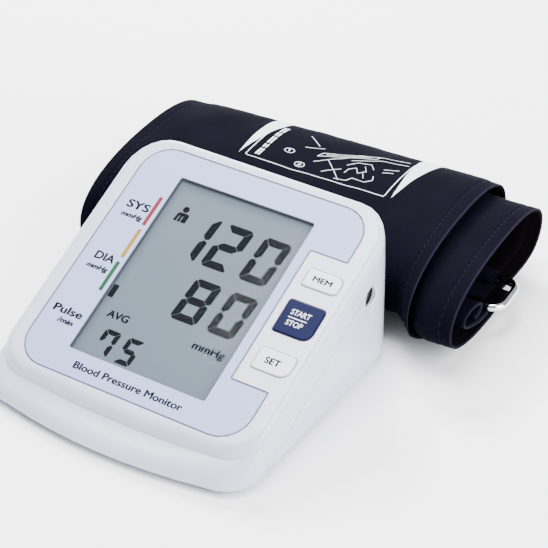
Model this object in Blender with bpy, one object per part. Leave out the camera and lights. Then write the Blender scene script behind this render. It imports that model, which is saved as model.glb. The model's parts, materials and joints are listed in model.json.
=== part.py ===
"""Upper arm blood pressure monitor: a sloping desk case with its inner works, and its rolled arm cuff.

Metres, +Z up.  The build frame has X = 0 on the case's centre line, Y = 0 and the height FACE_HEIGHT at the
lower edge of the display window, and Z = 0 at the table.  At the end everything is moved so that the origin
is the middle of the whole object's bounding box, on the table.
"""

import math

import bmesh
import bpy
from mathutils import Matrix, Vector

# ---------------------------------------------------------------- driving dimensions
FACE_TILT = math.radians(24.4)     # slope of the face, rising to the back
FACE_HEIGHT = 0.0201               # height of the face at the display window's lower edge
CASE_WIDTH = 0.1158
CASE_FRONT = -0.0264               # Y of the bowed front at the table, on the centre line
CASE_BACK = 0.0902                 # Y of the back wall
CASE_BOW = 0.0045                  # how far the front edge falls back at its ends
RIM_FRONT = -0.0155                # Y where the apron meets the face's rounded rim
RIM_RADIUS = 0.0035
RIM_DRAFT = 0.0006                 # the walls lean in by this, from base to rim
APRON_CORE = 2.8                   # extra thickness behind the front apron, in walls
WALL = 0.0022
CORNER_FRONT = 0.014
CORNER_BACK = 0.0166
BASE_HEIGHT = 0.0015               # underside of the case above the table
PART_TILT = math.radians(26.7)     # slope of the joint between the two covers
PART_HEIGHT = 0.0056               # height of that joint at Y = 0

# named clearances
GAP = 0.0003                       # between pieces that touch
SLIDE_GAP = 0.00035                # around a button in its opening
PART_GAP = 0.0003                  # between the two covers

# display and face panel, in face coordinates (u right, v up the slope, w out of the face)
DISPLAY_X = -0.00063               # the display's centre line is this far off the case's
WINDOW_WIDTH = 0.060
WINDOW_LENGTH = 0.0817
PANEL_LEFT = -0.0487
PANEL_RIGHT = 0.0499
PANEL_FOOT = -0.0109
PANEL_HEAD = 0.0925
PANEL_CORNER = 0.012
PANEL_THICK = 0.0008
PANEL_RECESS = 0.0011
NOTCH_LEFT = 0.0342
NOTCH_FOOT = 0.0120
NOTCH_HEAD = 0.0706
GLASS_DEPTH = 0.00275
GLASS_THICK = 0.0022
GLASS_MARGIN = 0.003
TRAY_WALL = 0.0025
TRAY_FLOOR = 0.0016
BOARD_DEPTH = 0.0093
BOARD_THICK = 0.0016
BOARD_LEFT = -0.0500
BOARD_RIGHT = 0.0540
BOARD_FOOT = -0.006
BOARD_HEAD = 0.064

# buttons: name, left, right, foot, head, corner radii from the lower left, anticlockwise
BUTTONS = (
    ("mem", 0.0382, 0.0527, 0.0561, 0.0638, (0.0009, 0.0022, 0.0026, 0.0009)),
    ("start", 0.0377, 0.0532, 0.0352, 0.0496, (0.0010, 0.0036, 0.0018, 0.0012)),
    ("set", 0.0382, 0.0532, 0.0189, 0.0280, (0.0010, 0.0040, 0.0016, 0.0012)),
)
BUTTON_PROUD = 0.0005
BUTTON_FLANGE = 0.0009
FLANGE_THICK = 0.0009
BUTTON_TRAVEL = 0.0007
BUTTON_EDGE = 0.0003               # chamfer round the top of a button
BUTTON_STEM = 0.0020               # radius of the stem that reaches down to its switch
FLANGE_DROP = 0.0004               # the flange rests this far below the cover's wall
SWITCH_SIDE = 0.006
SWITCH_TALL = 0.0030
SWITCH_PLUNGER = 0.0006            # how far a switch's plunger stands up, and its radius
PLUNGER_RADIUS = 0.0017
STRIP_SLOT = 0.0034                # slot in the tray for the contact strip, and its place from the foot
STRIP_FOOT = 0.001

# battery compartment: four AA cells in two rows of two
CELL_RADIUS = 0.0071
CELL_LENGTH = 0.0496
CELL_NUB = 0.0010
CELL_PITCH = 0.0152
ROW_FRONT = 0.0500                 # Y of the front row
CELL_HEIGHT = 0.0113               # Z of the cells' axes
SPRING_ROOM = 0.0040
PLATE_THICK = 0.0005
PLATE_HALF = 0.005
SPRING_WIRE = 0.0004
SPRING_TURNS = 4
SPRING_STEPS = 12                  # points in each turn
SPRING_WIDE = 0.0040               # radius at the plate and at the cell
SPRING_NARROW = 0.0024
WELL_WALL = 0.0013
DOOR_THICK = 0.0020
DOOR_PIN = 0.00075
DOOR_PIN_LENGTH = 0.0009
CATCH_HALF = 0.006
CATCH_TALL = 0.0026
CATCH_THICK = 0.0015
THUMB_BACK = 0.008                 # middle of the thumb scoop, from the door's free edge

# fasteners and feet
BOSSES = ((-0.046, 0.012), (0.046, 0.012), (-0.046, 0.0795), (0.046, 0.0795))
BOSS_RADIUS = 0.0035
SCREW_HEAD = 0.0026
SCREW_HEAD_TALL = 0.0016
SCREW_SHANK = 0.0012
SCREW_LENGTH = 0.0105
SCREW_POINT = 0.0012
SCREW_GRIP = 0.0035                # how far below the joint of the covers a screw's head sits
FEET = ((-0.042, -0.012), (0.042, -0.012), (-0.036, 0.0805), (0.036, 0.0805))
FOOT_RADIUS = 0.0048

# air system
PUMP_Y = 0.0765
PUMP_Z = 0.0330
PUMP_RADIUS = 0.0095
MOTOR_LEFT = -0.040
MOTOR_RIGHT = -0.012
HEAD_RIGHT = 0.0095
CRANK_THROW = 0.0015
CRANK_LENGTH = 0.0090
CRANK_RADIUS = 0.0011
CRANK_ROOM = 0.0105                # depth of the hollow that it turns in
ECCENTRIC_START = 0.0030
ECCENTRIC_THICK = 0.0035
ECCENTRIC_RADIUS = 0.0040
HEAD_WALL = 0.0015
JACK_Y = 0.0684
JACK_Z = 0.0345
JACK_RADIUS = 0.0040
JACK_BORE = 0.0024
JACK_PLAY = 0.0004
JACK_FLANGE = 0.0012               # its shoulder stands this far round the barrel, inside the wall
JACK_IN = 0.0031                   # its mouth lies this far inside the case's side
JACK_LENGTH = 0.0165
JACK_TAIL = 0.0040                 # length of the nipple at its inner end
JACK_BORE_DEPTH = 0.0105
TUBE_RADIUS = 0.0021
NIPPLE = 0.0013
MANIFOLD = Vector((0.0260, 0.0645, 0.0295))
MANIFOLD_HALF = 0.0033
MANIFOLD_NIPPLE = 0.0025
VALVE_AWAY = 0.0080
VALVE_PORT = 0.0025
VALVE_BORE = 0.0025
VALVE_BORE_DEPTH = 0.0100
PLUNGER_DEPTH = 0.0085
SENSOR_TALL = 0.0040
SENSOR_FOOT = 0.0400
SENSOR_HEAD = 0.0500
SENSOR_PORT = 0.0035
SENSOR_HALF = 0.005
CRADLES = (-0.036, -0.016)         # X of the ribs that carry the pump
CRADLE_THICK = 0.0020
CRADLE_HALF = 0.0085
TUBE_LEAD = 0.003                  # how far a tube runs straight on from its nipple

# rolled cuff: a strip wound inwards from its outer end, lying behind the case
ROLL_TURN = math.radians(3.8)      # the roll's axis against the case's back
ROLL_FRONT = 0.0700                # nearest and farthest of the roll, across its axis
ROLL_BACK = 0.1680
ROLL_HEIGHT = 0.0410
ROLL_SQUARE = 2.3                  # exponent of the oval section, 2 for an ellipse
CUFF_WIDTH = 0.1424
CUFF_THICK = 0.0030
STRIP_START = math.radians(-30)    # where the strip's outer end lies round the section
STRIP_END = math.radians(644)
STEP_SHARE = 0.14                  # share of each turn in which it steps inside the one before
PITCH_SIDE = 0.0046                # how much each turn lies inside the last, at the sides,
PITCH_TOP = 0.0050                 # at the top
PITCH_FOOT = 0.0035                # and at the bottom
OUTER_MIDDLE = 0.0008              # middle of the strip along the axis, on its outer turn
INNER_SHIFT = 0.0180               # the inner turns stick out by this at the right
SHIFT_FROM = math.radians(205)
SHIFT_TO = math.radians(330)
DENT_CENTRE = 0.0053               # the case presses into the roll round this point of its axis
DENT_FLAT = 0.0530
DENT_END = 0.0740
DENT_GAP = 0.0008
STEP_ANGLE = math.radians(9)

BLADDER_MARGIN = 0.012
POCKET_THICK = 0.0014
BLADDER_FROM = math.radians(60)
BLADDER_TO = math.radians(430)
BLADDER_PLAY = 0.0005              # gap round the bladder in its pocket, across the strip
BLADDER_TURN = 0.02                # and round the roll, in radians
PORT_ANGLE = math.radians(262)
PORT_HALF = 0.075                  # half width of the hose port and of its channel, in radians
PORT_CHANNEL = 0.09
PORT_REACH = 0.008                 # how far it stands out of the strip's left edge
PORT_TONGUE = 0.006
PORT_ROOT = 0.0018
PORT_NIPPLE = 0.0019
PATCH_THICK = 0.0005
PATCH_GAP = 0.00035
PATCH_MARGIN = 0.006
HOOKS_FROM = math.radians(-24)
HOOKS_TO = math.radians(24)
PILE_FROM = math.radians(385)
PILE_TO = math.radians(500)

# metal ring for the strap, and the sewn loop that holds it
RING_WIRE = 0.0016
RING_HINGE = (0.1270, 0.0131)      # the held rod, across the roll's axis and above the table
RING_FREE = (0.1078, 0.0131)
RING_LEFT = -0.0550
RING_RIGHT = 0.0955
RING_CORNER = 0.0050
LOOP_THICK = 0.0012
LOOP_LEFT = -0.0470
LOOP_RIGHT = 0.0860
LOOP_TAIL = 0.0120
LOOP_CLOSE = math.radians(110)     # how far past its top the loop wraps before its tail

COS = math.cos(FACE_TILT)
SIN = math.sin(FACE_TILT)
FACE_NORMAL = Vector((0.0, -SIN, COS))
HALF_WIDTH = CASE_WIDTH / 2


# ---------------------------------------------------------------- frames
def face_point(u, v, w):
    """A point of the face's own frame, in the build frame."""
    return Vector((u + DISPLAY_X, v * COS - w * SIN, FACE_HEIGHT + v * SIN + w * COS))


def face_height(y, w=0.0):
    """Height of the plane that lies w above the face, at a given Y."""
    return FACE_HEIGHT + y * math.tan(FACE_TILT) + w / COS


def part_height(y):
    """Height of the joint between the covers, at a given Y."""
    return PART_HEIGHT + y * math.tan(PART_TILT)


def identity(x, y, z):
    return Vector((x, y, z))


def mix(a, b, share):
    return a + (b - a) * share


def smooth(share):
    share = min(1.0, max(0.0, share))
    return share * share * (3 - 2 * share)


# ---------------------------------------------------------------- objects and materials
def clear_scene():
    for item in list(bpy.data.objects):
        bpy.data.objects.remove(item, do_unlink=True)


def finish(name, colour, roughness, metallic=0.0):
    made = bpy.data.materials.new(name)
    made.use_nodes = True
    shader = made.node_tree.nodes["Principled BSDF"]
    shader.inputs["Base Color"].default_value = (*colour, 1.0)
    shader.inputs["Roughness"].default_value = roughness
    shader.inputs["Metallic"].default_value = metallic
    made.diffuse_color = (*colour, 1.0)
    return made


def add(name, shape, material=None, pivot=(0, 0, 0), sharp=30):
    """Turns a bmesh in the build frame into an object whose origin is the pivot."""
    bmesh.ops.recalc_face_normals(shape, faces=shape.faces)
    if shape.calc_volume(signed=True) < 0:
        bmesh.ops.reverse_faces(shape, faces=shape.faces)
    bmesh.ops.translate(shape, verts=shape.verts, vec=-Vector(pivot))
    mesh = bpy.data.meshes.new(name)
    shape.to_mesh(mesh)
    shape.free()
    mesh.shade_smooth()
    mesh.set_sharp_from_angle(angle=math.radians(sharp))
    item = bpy.data.objects.new(name, mesh)
    item.location = pivot
    bpy.context.scene.collection.objects.link(item)
    if material:
        mesh.materials.append(material)
    return item


def guide(name, shape):
    """A shape that only cuts or joins another."""
    item = add(name, shape)
    item.hide_render = True
    item.display_type = "WIRE"
    return item


def combine(target, operation, name, shape):
    step = target.modifiers.new(name, "BOOLEAN")
    step.operation = operation
    step.solver = "EXACT"
    step.object = guide(f"{target.name}_{name}_guide", shape)
    return target


def cut(target, name, shape):
    return combine(target, "DIFFERENCE", name, shape)


def join(target, name, shape):
    return combine(target, "UNION", name, shape)


def keep(target, name, shape):
    return combine(target, "INTERSECT", name, shape)


# ---------------------------------------------------------------- shapes
def loft(rings):
    """A closed solid through rings of points of equal count, with flat ends."""
    shape = bmesh.new()
    rows = [[shape.verts.new(point) for point in ring] for ring in rings]
    for low, high in zip(rows, rows[1:]):
        for index in range(len(low)):
            after = (index + 1) % len(low)
            shape.faces.new((low[index], low[after], high[after], high[index]))
    shape.faces.new(rows[0][::-1])
    shape.faces.new(rows[-1])
    return shape


def prism(outline, low, high, frame=identity):
    """An outline of (a, b) points between two levels of a frame."""
    return loft([[frame(a, b, level) for a, b in outline] for level in (low, high)])


def box(low, high, frame=identity):
    outline = [(low[0], low[1]), (high[0], low[1]), (high[0], high[1]), (low[0], high[1])]
    return prism(outline, low[2], high[2], frame)


def rounded(corners, radii, steps=6):
    """A closed outline through the corners, each rounded by its own radius."""
    outline = []
    for index, (corner, radius) in enumerate(zip(corners, radii)):
        here = Vector(corner)
        before = (Vector(corners[index - 1]) - here).normalized()
        after = (Vector(corners[(index + 1) % len(corners)]) - here).normalized()
        half = before.angle(after) / 2
        centre = here + (before + after).normalized() * (radius / math.sin(half))
        start = here + before * (radius / math.tan(half)) - centre
        end = here + after * (radius / math.tan(half)) - centre
        first = math.atan2(start.y, start.x)
        sweep = math.remainder(math.atan2(end.y, end.x) - first, math.tau)
        for step in range(steps + 1):
            angle = first + sweep * step / steps
            outline.append((centre.x + radius * math.cos(angle), centre.y + radius * math.sin(angle)))
    return outline


def rectangle(left, right, foot, head, radii, steps=6):
    corners = ((left, foot), (right, foot), (right, head), (left, head))
    return rounded(corners, radii, steps)


def turned(profile, start, axis, sides=24):
    """A solid turned round an axis, from (distance along it, radius) pairs."""
    axis = Vector(axis).normalized()
    across = axis.orthogonal().normalized()
    other = axis.cross(across)
    rings = []
    for along, radius in profile:
        middle = Vector(start) + axis * along
        rings.append([
            middle + (across * math.cos(turn) + other * math.sin(turn)) * radius
            for turn in [math.tau * k / sides for k in range(sides)]
        ])
    return loft(rings)


def rod(start, end, radius, sides=24):
    start = Vector(start)
    axis = Vector(end) - start
    return turned(((0.0, radius), (axis.length, radius)), start, axis, sides)


def column(x, y, radius, low, high, sides=24):
    """An upright post whose two ends follow heights given as functions of Y."""
    circle = [
        (x + radius * math.cos(math.tau * k / sides), y + radius * math.sin(math.tau * k / sides))
        for k in range(sides)
    ]
    return loft([[Vector((a, b, level(b))) for a, b in circle] for level in (low, high)])


def level(height):
    return lambda y: height


def wire(name, points, radius, material, sides=2, closed=False, pivot=(0, 0, 0)):
    """A round wire or hose along a path, as a curve with a bevel and filled caps."""
    curve = bpy.data.curves.new(name, "CURVE")
    curve.dimensions = "3D"
    curve.bevel_depth = radius
    curve.bevel_resolution = sides
    curve.use_fill_caps = not closed
    spline = curve.splines.new("POLY")
    spline.points.add(len(points) - 1)
    for knot, point in zip(spline.points, points):
        knot.co = (*(Vector(point) - Vector(pivot)), 1.0)
    spline.use_cyclic_u = closed
    spline.use_smooth = True
    curve.materials.append(material)
    item = bpy.data.objects.new(name, curve)
    item.location = pivot
    bpy.context.scene.collection.objects.link(item)
    return item


def bezier(start, leave, arrive, end, steps=10):
    """Points of a cubic curve between two ends with their handles."""
    points = []
    for step in range(steps + 1):
        t = step / steps
        points.append(
            start * (1 - t) ** 3 + leave * 3 * t * (1 - t) ** 2 + arrive * 3 * t * t * (1 - t) + end * t ** 3
        )
    return points


# ---------------------------------------------------------------- case
def case_outline(half, front, back, bow, front_radius, back_radius):
    """Plan of the case, anticlockwise: a bowed front, straight sides and back, round corners."""
    outline = []
    reach = half - front_radius
    for step in range(9):
        x = mix(-reach, reach, step / 8)
        outline.append((x, front + bow * (x / reach) ** 2))
    turn = 6

    def corner(cx, cy, radius, first):
        for step in range(1, turn + 1):
            angle = math.radians(first + 90 * step / turn)
            outline.append((cx + radius * math.cos(angle), cy + radius * math.sin(angle)))

    def side(x0, y0, x1, y1, steps):
        for step in range(1, steps + 1):
            outline.append((mix(x0, x1, step / steps), mix(y0, y1, step / steps)))

    low = front + bow + front_radius
    high = back - back_radius
    corner(half - front_radius, low, front_radius, -90)
    side(half, low, half, high, 4)
    corner(half - back_radius, high, back_radius, 0)
    side(half - back_radius, back, back_radius - half, back, 4)
    corner(back_radius - half, high, back_radius, 90)
    side(-half, high, -half, low, 4)
    corner(front_radius - half, low, front_radius, 180)
    outline.pop()
    return outline


def case_solid(inset):
    """The case's outer form, or its inner one when inset by the wall."""

    def base(extra):
        d = inset + extra
        return case_outline(
            HALF_WIDTH - d, CASE_FRONT + d + inset * APRON_CORE, CASE_BACK - d, CASE_BOW,
            CORNER_FRONT - d, CORNER_BACK - d,
        )

    def rim(extra):
        d = inset + extra
        return case_outline(
            HALF_WIDTH - RIM_DRAFT - d, RIM_FRONT + d + inset, CASE_BACK - RIM_DRAFT - d, CASE_BOW * 0.4,
            CORNER_FRONT - d, CORNER_BACK - d,
        )

    foot = BASE_HEIGHT + inset
    shoulder = foot + 0.0024
    radius = RIM_RADIUS - inset * 0.8
    rings = [
        [(x, y, height) for x, y in base(extra)]
        for extra, height in ((0.0045, foot), (0.0013, foot), (0.00035, foot + 0.0009), (0.0, shoulder))
    ]
    for outward, upward in ((0.16, 0.36), (0.47, 0.74)):
        rings.append([
            (mix(a, c, outward), mix(b, d, outward), mix(shoulder, face_height(d, -inset - radius), upward))
            for (a, b), (c, d) in zip(base(0.0), rim(0.0))
        ])
    for angle in (0, 30, 60, 90):
        turn = math.radians(angle)
        drop = -inset - radius * (1 - math.sin(turn))
        rings.append([
            (x, y, face_height(y, drop)) for x, y in rim(radius * (1 - math.cos(turn)))
        ])
    return loft([[Vector(point) for point in ring] for ring in rings])


def half_space(above):
    """A large block on one side of the joint between the covers."""
    far = 0.4
    sign = 1 if above else -1
    gap = sign * PART_GAP / 2 / math.cos(PART_TILT)
    near = [(y, part_height(y) + gap) for y in (-far, far)]
    ring = [near[0], near[1], (far, near[1][1] + sign * far), (-far, near[0][1] + sign * far)]
    return loft([[Vector((x, y, z)) for y, z in ring] for x in (-far, far)])


def button_outline(entry, grow):
    name, left, right, foot, head, radii = entry
    radii = tuple(radius + grow for radius in radii)
    return rectangle(left - grow, right + grow, foot - grow, head + grow, radii, steps=4)


def panel_outline(grow):
    corners = (
        (PANEL_LEFT - grow, PANEL_FOOT - grow), (PANEL_RIGHT + grow, PANEL_FOOT - grow),
        (PANEL_RIGHT + grow, NOTCH_FOOT + grow), (NOTCH_LEFT + grow, NOTCH_FOOT + grow),
        (NOTCH_LEFT + grow, NOTCH_HEAD - grow), (PANEL_RIGHT + grow, NOTCH_HEAD - grow),
        (PANEL_RIGHT + grow, PANEL_HEAD + grow), (PANEL_LEFT - grow, PANEL_HEAD + grow),
    )
    big = PANEL_CORNER + grow
    small = 0.0006
    return rounded(corners, (big, big, small, small, small, small, big, big), steps=5)


def window_outline(grow):
    half = WINDOW_WIDTH / 2 + grow
    return rectangle(-half, half, -grow, WINDOW_LENGTH + grow, (0.0008 + max(grow, 0.0),) * 4, steps=3)


def well_box():
    """Inside of the battery well: left, right, front, back, top."""
    half = CELL_LENGTH + CELL_NUB + GAP + (SPRING_ROOM + PLATE_THICK) / 2 + GAP
    room = CELL_RADIUS + 0.0008
    return -half, half, ROW_FRONT - room, ROW_FRONT + CELL_PITCH + room, CELL_HEIGHT + CELL_RADIUS + 0.0009


def door_axis():
    """Y and Z of the battery door's hinge line."""
    return well_box()[2] + DOOR_THICK / 2 + 0.0004, BASE_HEIGHT + 0.0001 + DOOR_THICK / 2


def build_front_cover(white):
    cover = add("front_cover", case_solid(0.0), white)
    cut(cover, "hollow", case_solid(WALL))
    for index, (x, y) in enumerate(BOSSES):
        join(cover, f"boss_{index}", column(
            x, y, BOSS_RADIUS - 0.0004, lambda b: part_height(b) - 0.002, lambda b: face_height(b, -WALL / 2)
        ))
    keep(cover, "upper", half_space(True))
    cut(cover, "panel_recess", prism(panel_outline(GAP), -PANEL_RECESS, 0.01, face_point))
    cut(cover, "window", prism(window_outline(0.0), -0.01, 0.01, face_point))
    for entry in BUTTONS:
        cut(cover, f"opening_{entry[0]}", prism(button_outline(entry, SLIDE_GAP), -0.01, 0.01, face_point))
    for index, (x, y) in enumerate(BOSSES):
        top = face_height(y, -WALL) - 0.003
        cut(cover, f"pilot_{index}", column(
            x, y, SCREW_SHANK + GAP, lambda b: part_height(b) - 0.005, level(top), 12
        ))
    return cover


def jack_scoop():
    """A groove in the side wall, deepest round the air jack and fading out below it."""
    top = Vector((HALF_WIDTH + 0.0038, JACK_Y, JACK_Z + 0.0005))
    foot = Vector((HALF_WIDTH + 0.0066, JACK_Y - 0.0012, JACK_Z - 0.0130))
    radius = 0.0062
    axis = foot - top
    turn = (math.pi / 2 / 5)
    profile = [(-radius * math.cos(turn * k), radius * math.sin(turn * k) + 0.0001) for k in range(6)]
    profile += [(axis.length + radius * math.sin(turn * k), radius * math.cos(turn * k) + 0.0001)
                for k in range(6)]
    return turned(profile, top, axis, 20)


def screw_seat(y):
    """Height of the shoulder that a screw's head bears on."""
    return part_height(y) - SCREW_GRIP


def build_rear_cover(white):
    left, right, front, back, top = well_box()
    cover = add("rear_cover", case_solid(0.0), white)
    cut(cover, "hollow", case_solid(WALL))
    join(cover, "well", box(
        (left - WELL_WALL, front - WELL_WALL, BASE_HEIGHT + WALL / 2),
        (right + WELL_WALL, back + WELL_WALL, top + WELL_WALL),
    ))
    for index, (x, y) in enumerate(BOSSES):
        join(cover, f"boss_{index}", column(x, y, BOSS_RADIUS, level(BASE_HEIGHT + WALL / 2), part_height))
    keep(cover, "lower", half_space(False))
    for index, x in enumerate(CRADLES):
        join(cover, f"cradle_{index}", box(
            (x - CRADLE_THICK / 2, PUMP_Y - CRADLE_HALF, BASE_HEIGHT + WALL / 2),
            (x + CRADLE_THICK / 2, PUMP_Y + CRADLE_HALF, PUMP_Z - 0.004),
        ))
    join(cover, "valve_post", box(
        (MANIFOLD.x - 0.003, MANIFOLD.y + 0.0125, BASE_HEIGHT + WALL / 2),
        (MANIFOLD.x + 0.003, MANIFOLD.y + 0.0200, MANIFOLD.z - 0.0060 - GAP),
    ))
    cut(cover, "pump_room", rod(
        (MOTOR_LEFT - 0.001, PUMP_Y, PUMP_Z), (HEAD_RIGHT, PUMP_Y, PUMP_Z), PUMP_RADIUS + GAP, 32
    ))
    cut(cover, "well_hollow", box((left, front, -0.01), (right, back, top)))
    for index, (x, y) in enumerate(BOSSES):
        seat = screw_seat(y)
        cut(cover, f"counterbore_{index}", rod((x, y, -0.01), (x, y, seat), SCREW_HEAD + GAP, 20))
        cut(cover, f"clearance_{index}", rod((x, y, seat - 0.001), (x, y, 0.08), SCREW_SHANK + GAP, 12))
    cut(cover, "scoop", jack_scoop())
    cut(cover, "jack_hole", rod(
        (HALF_WIDTH - 0.006, JACK_Y, JACK_Z), (HALF_WIDTH + 0.01, JACK_Y, JACK_Z),
        JACK_RADIUS - JACK_PLAY + GAP,
    ))
    y, z = door_axis()
    for side in (-1, 1):
        end = side * (right + DOOR_PIN_LENGTH + 0.0003)
        cut(cover, f"socket_{side}", rod((side * (right - 0.001), y, z), (end, y, z), DOOR_PIN + GAP, 12))
    return cover


def build_battery_door(white):
    left, right, front, back, top = well_box()
    y, z = door_axis()
    radius = DOOR_THICK / 2
    end = back - GAP
    steps = [math.pi * k / 8 for k in range(9)]
    nose = [(y - radius * math.sin(turn), z + radius * math.cos(turn)) for turn in steps]
    section = nose + [(end, z - radius), (end, z + radius)]
    plate = loft([[Vector((x, b, c)) for b, c in section] for x in (left + GAP, right - GAP)])
    door = add("battery_door", plate, white, pivot=(0.0, y, z))
    for side in (-1, 1):
        join(door, f"pin_{side}", rod(
            (side * (right - 0.003), y, z), (side * (right + DOOR_PIN_LENGTH), y, z), DOOR_PIN, 12
        ))
    join(door, "catch", box(
        (-CATCH_HALF, end - GAP - CATCH_THICK, z), (CATCH_HALF, end - GAP, z + radius + CATCH_TALL)
    ))
    cut(door, "thumb_scoop", turned(
        ((0.0, 0.0001), (0.0006, 0.0045), (0.0016, 0.0065), (0.004, 0.0070)),
        (0.0, end - THUMB_BACK, z - radius + 0.0009), (0, 0, -1), 20,
    ))
    return door


def build_fasteners_and_feet(steel, rubber):
    for index, (x, y) in enumerate(BOSSES):
        seat = screw_seat(y) - GAP
        add(f"case_screw_{index + 1}", turned(
            ((0.0, SCREW_HEAD * 0.7), (0.0004, SCREW_HEAD), (SCREW_HEAD_TALL, SCREW_HEAD),
             (SCREW_HEAD_TALL, SCREW_SHANK), (SCREW_LENGTH - SCREW_POINT, SCREW_SHANK),
             (SCREW_LENGTH, 0.0003)),
            (x, y, seat - SCREW_HEAD_TALL), (0, 0, 1), 16,
        ), steel)
    for index, (x, y) in enumerate(FEET):
        tall = BASE_HEIGHT - GAP
        add(f"foot_{index + 1}", turned(
            ((0.0, FOOT_RADIUS - 0.0005), (0.0004, FOOT_RADIUS), (tall, FOOT_RADIUS)), (x, y, 0.0), (0, 0, 1)
        ), rubber)


# ---------------------------------------------------------------- display, board and buttons
def build_display(panel, clear, cell, carrier, strip):
    thick = prism(panel_outline(0.0), -PANEL_THICK, 0.0, face_point)
    plate = add("face_panel", thick, panel)
    cut(plate, "window", prism(window_outline(0.0), -0.01, 0.01, face_point))
    add("lcd_lens", prism(window_outline(-GAP), -PANEL_THICK, -0.0001, face_point), clear)
    half = WINDOW_WIDTH / 2 + GLASS_MARGIN
    foot = -GLASS_MARGIN
    head = WINDOW_LENGTH + GLASS_MARGIN
    low = -GLASS_DEPTH - GLASS_THICK
    add("lcd_glass", box((-half, foot, low), (half, head, -GLASS_DEPTH), face_point), cell)
    rim = GAP + TRAY_WALL
    floor = low - GAP - TRAY_FLOOR
    tray = add("lcd_tray", box(
        (-half - rim, foot - rim, floor), (half + rim, head + rim, -WALL - 0.0006), face_point
    ), carrier)
    cut(tray, "pocket", box((-half - GAP, foot - GAP, low - GAP), (half + GAP, head + GAP, 0.01), face_point))
    reach = half - GLASS_MARGIN
    near = foot + STRIP_FOOT
    far = near + STRIP_SLOT
    cut(tray, "slot", box((-reach, near, -0.02), (reach, far, 0.0), face_point))
    add("contact_strip", box(
        (GAP - reach, near + GAP, GAP - BOARD_DEPTH), (reach - GAP, far - GAP, low - GAP), face_point
    ), strip)


def build_board(laminate, switch):
    board = add("main_board", box(
        (BOARD_LEFT, BOARD_FOOT, -BOARD_DEPTH - BOARD_THICK), (BOARD_RIGHT, BOARD_HEAD, -BOARD_DEPTH),
        face_point,
    ), laminate)
    for index, (x, y) in enumerate(BOSSES[:2]):
        cut(board, f"relief_{index}", rod((x, y, -0.02), (x, y, 0.08), BOSS_RADIUS + 0.0006, 20))
    for name, left, right, foot, head, radii in BUTTONS:
        u = (left + right) / 2
        v = (foot + head) / 2
        half = SWITCH_SIDE / 2
        low = GAP - BOARD_DEPTH
        body = add(f"switch_{name}", box(
            (u - half, v - half, low), (u + half, v + half, low + SWITCH_TALL), face_point
        ), switch)
        top = low + SWITCH_TALL
        join(body, "plunger", rod(
            face_point(u, v, top - 0.001), face_point(u, v, top + SWITCH_PLUNGER), PLUNGER_RADIUS, 16
        ))


def build_buttons(white, blue):
    for entry in BUTTONS:
        name, left, right, foot, head, radii = entry
        u = (left + right) / 2
        v = (foot + head) / 2
        under = -WALL - FLANGE_DROP
        cap = [
            [face_point(a, b, w) for a, b in button_outline(entry, grow)]
            for grow, w in (
                (BUTTON_FLANGE, under - FLANGE_THICK), (BUTTON_FLANGE, under), (0.0, under),
                (0.0, BUTTON_PROUD - BUTTON_EDGE), (-BUTTON_EDGE, BUTTON_PROUD),
            )
        ]
        button = add(f"button_{name}", loft(cap), blue if name == "start" else white,
                     pivot=face_point(u, v, BUTTON_PROUD))
        stem = GAP - BOARD_DEPTH + SWITCH_TALL + SWITCH_PLUNGER + BUTTON_TRAVEL + 0.0001
        join(button, "stem", rod(
            face_point(u, v, under - 0.0002), face_point(u, v, stem), BUTTON_STEM, 16
        ))


# ---------------------------------------------------------------- batteries
def build_batteries(jacket, spring_steel):
    left, right, front, back, top = well_box()
    for row in range(2):
        y = ROW_FRONT + row * CELL_PITCH
        way = 1 if row == 0 else -1
        first = -way * (right - GAP)
        add(f"contact_plate_{row + 1}", box(
            (min(-first, -first - way * PLATE_THICK), y - PLATE_HALF, CELL_HEIGHT - PLATE_HALF),
            (max(-first, -first - way * PLATE_THICK), y + PLATE_HALF, CELL_HEIGHT + PLATE_HALF),
        ), spring_steel)
        room = SPRING_ROOM - 3 * SPRING_WIRE
        points = []
        for step in range(SPRING_TURNS * SPRING_STEPS + 1):
            share = step / (SPRING_TURNS * SPRING_STEPS)
            angle = share * SPRING_TURNS * math.tau
            radius = mix(SPRING_WIDE, SPRING_NARROW, share)
            points.append(Vector((
                first + way * (SPRING_WIRE + 0.00005 + share * room), y + radius * math.cos(angle),
                CELL_HEIGHT + radius * math.sin(angle),
            )))
        wire(f"contact_spring_{row + 1}", points, SPRING_WIRE, spring_steel, sides=1)
        for place in range(2):
            start = first + way * (SPRING_ROOM + place * (CELL_LENGTH + CELL_NUB + GAP))
            add(f"battery_{row * 2 + place + 1}", turned(
                ((0.0, CELL_RADIUS - 0.0006), (0.0005, CELL_RADIUS), (CELL_LENGTH - 0.0005, CELL_RADIUS),
                 (CELL_LENGTH, CELL_RADIUS - 0.0006), (CELL_LENGTH, 0.0027),
                 (CELL_LENGTH + CELL_NUB - GAP, 0.0025)),
                (start, y, CELL_HEIGHT), (way, 0, 0), 24,
            ), jacket)


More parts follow.
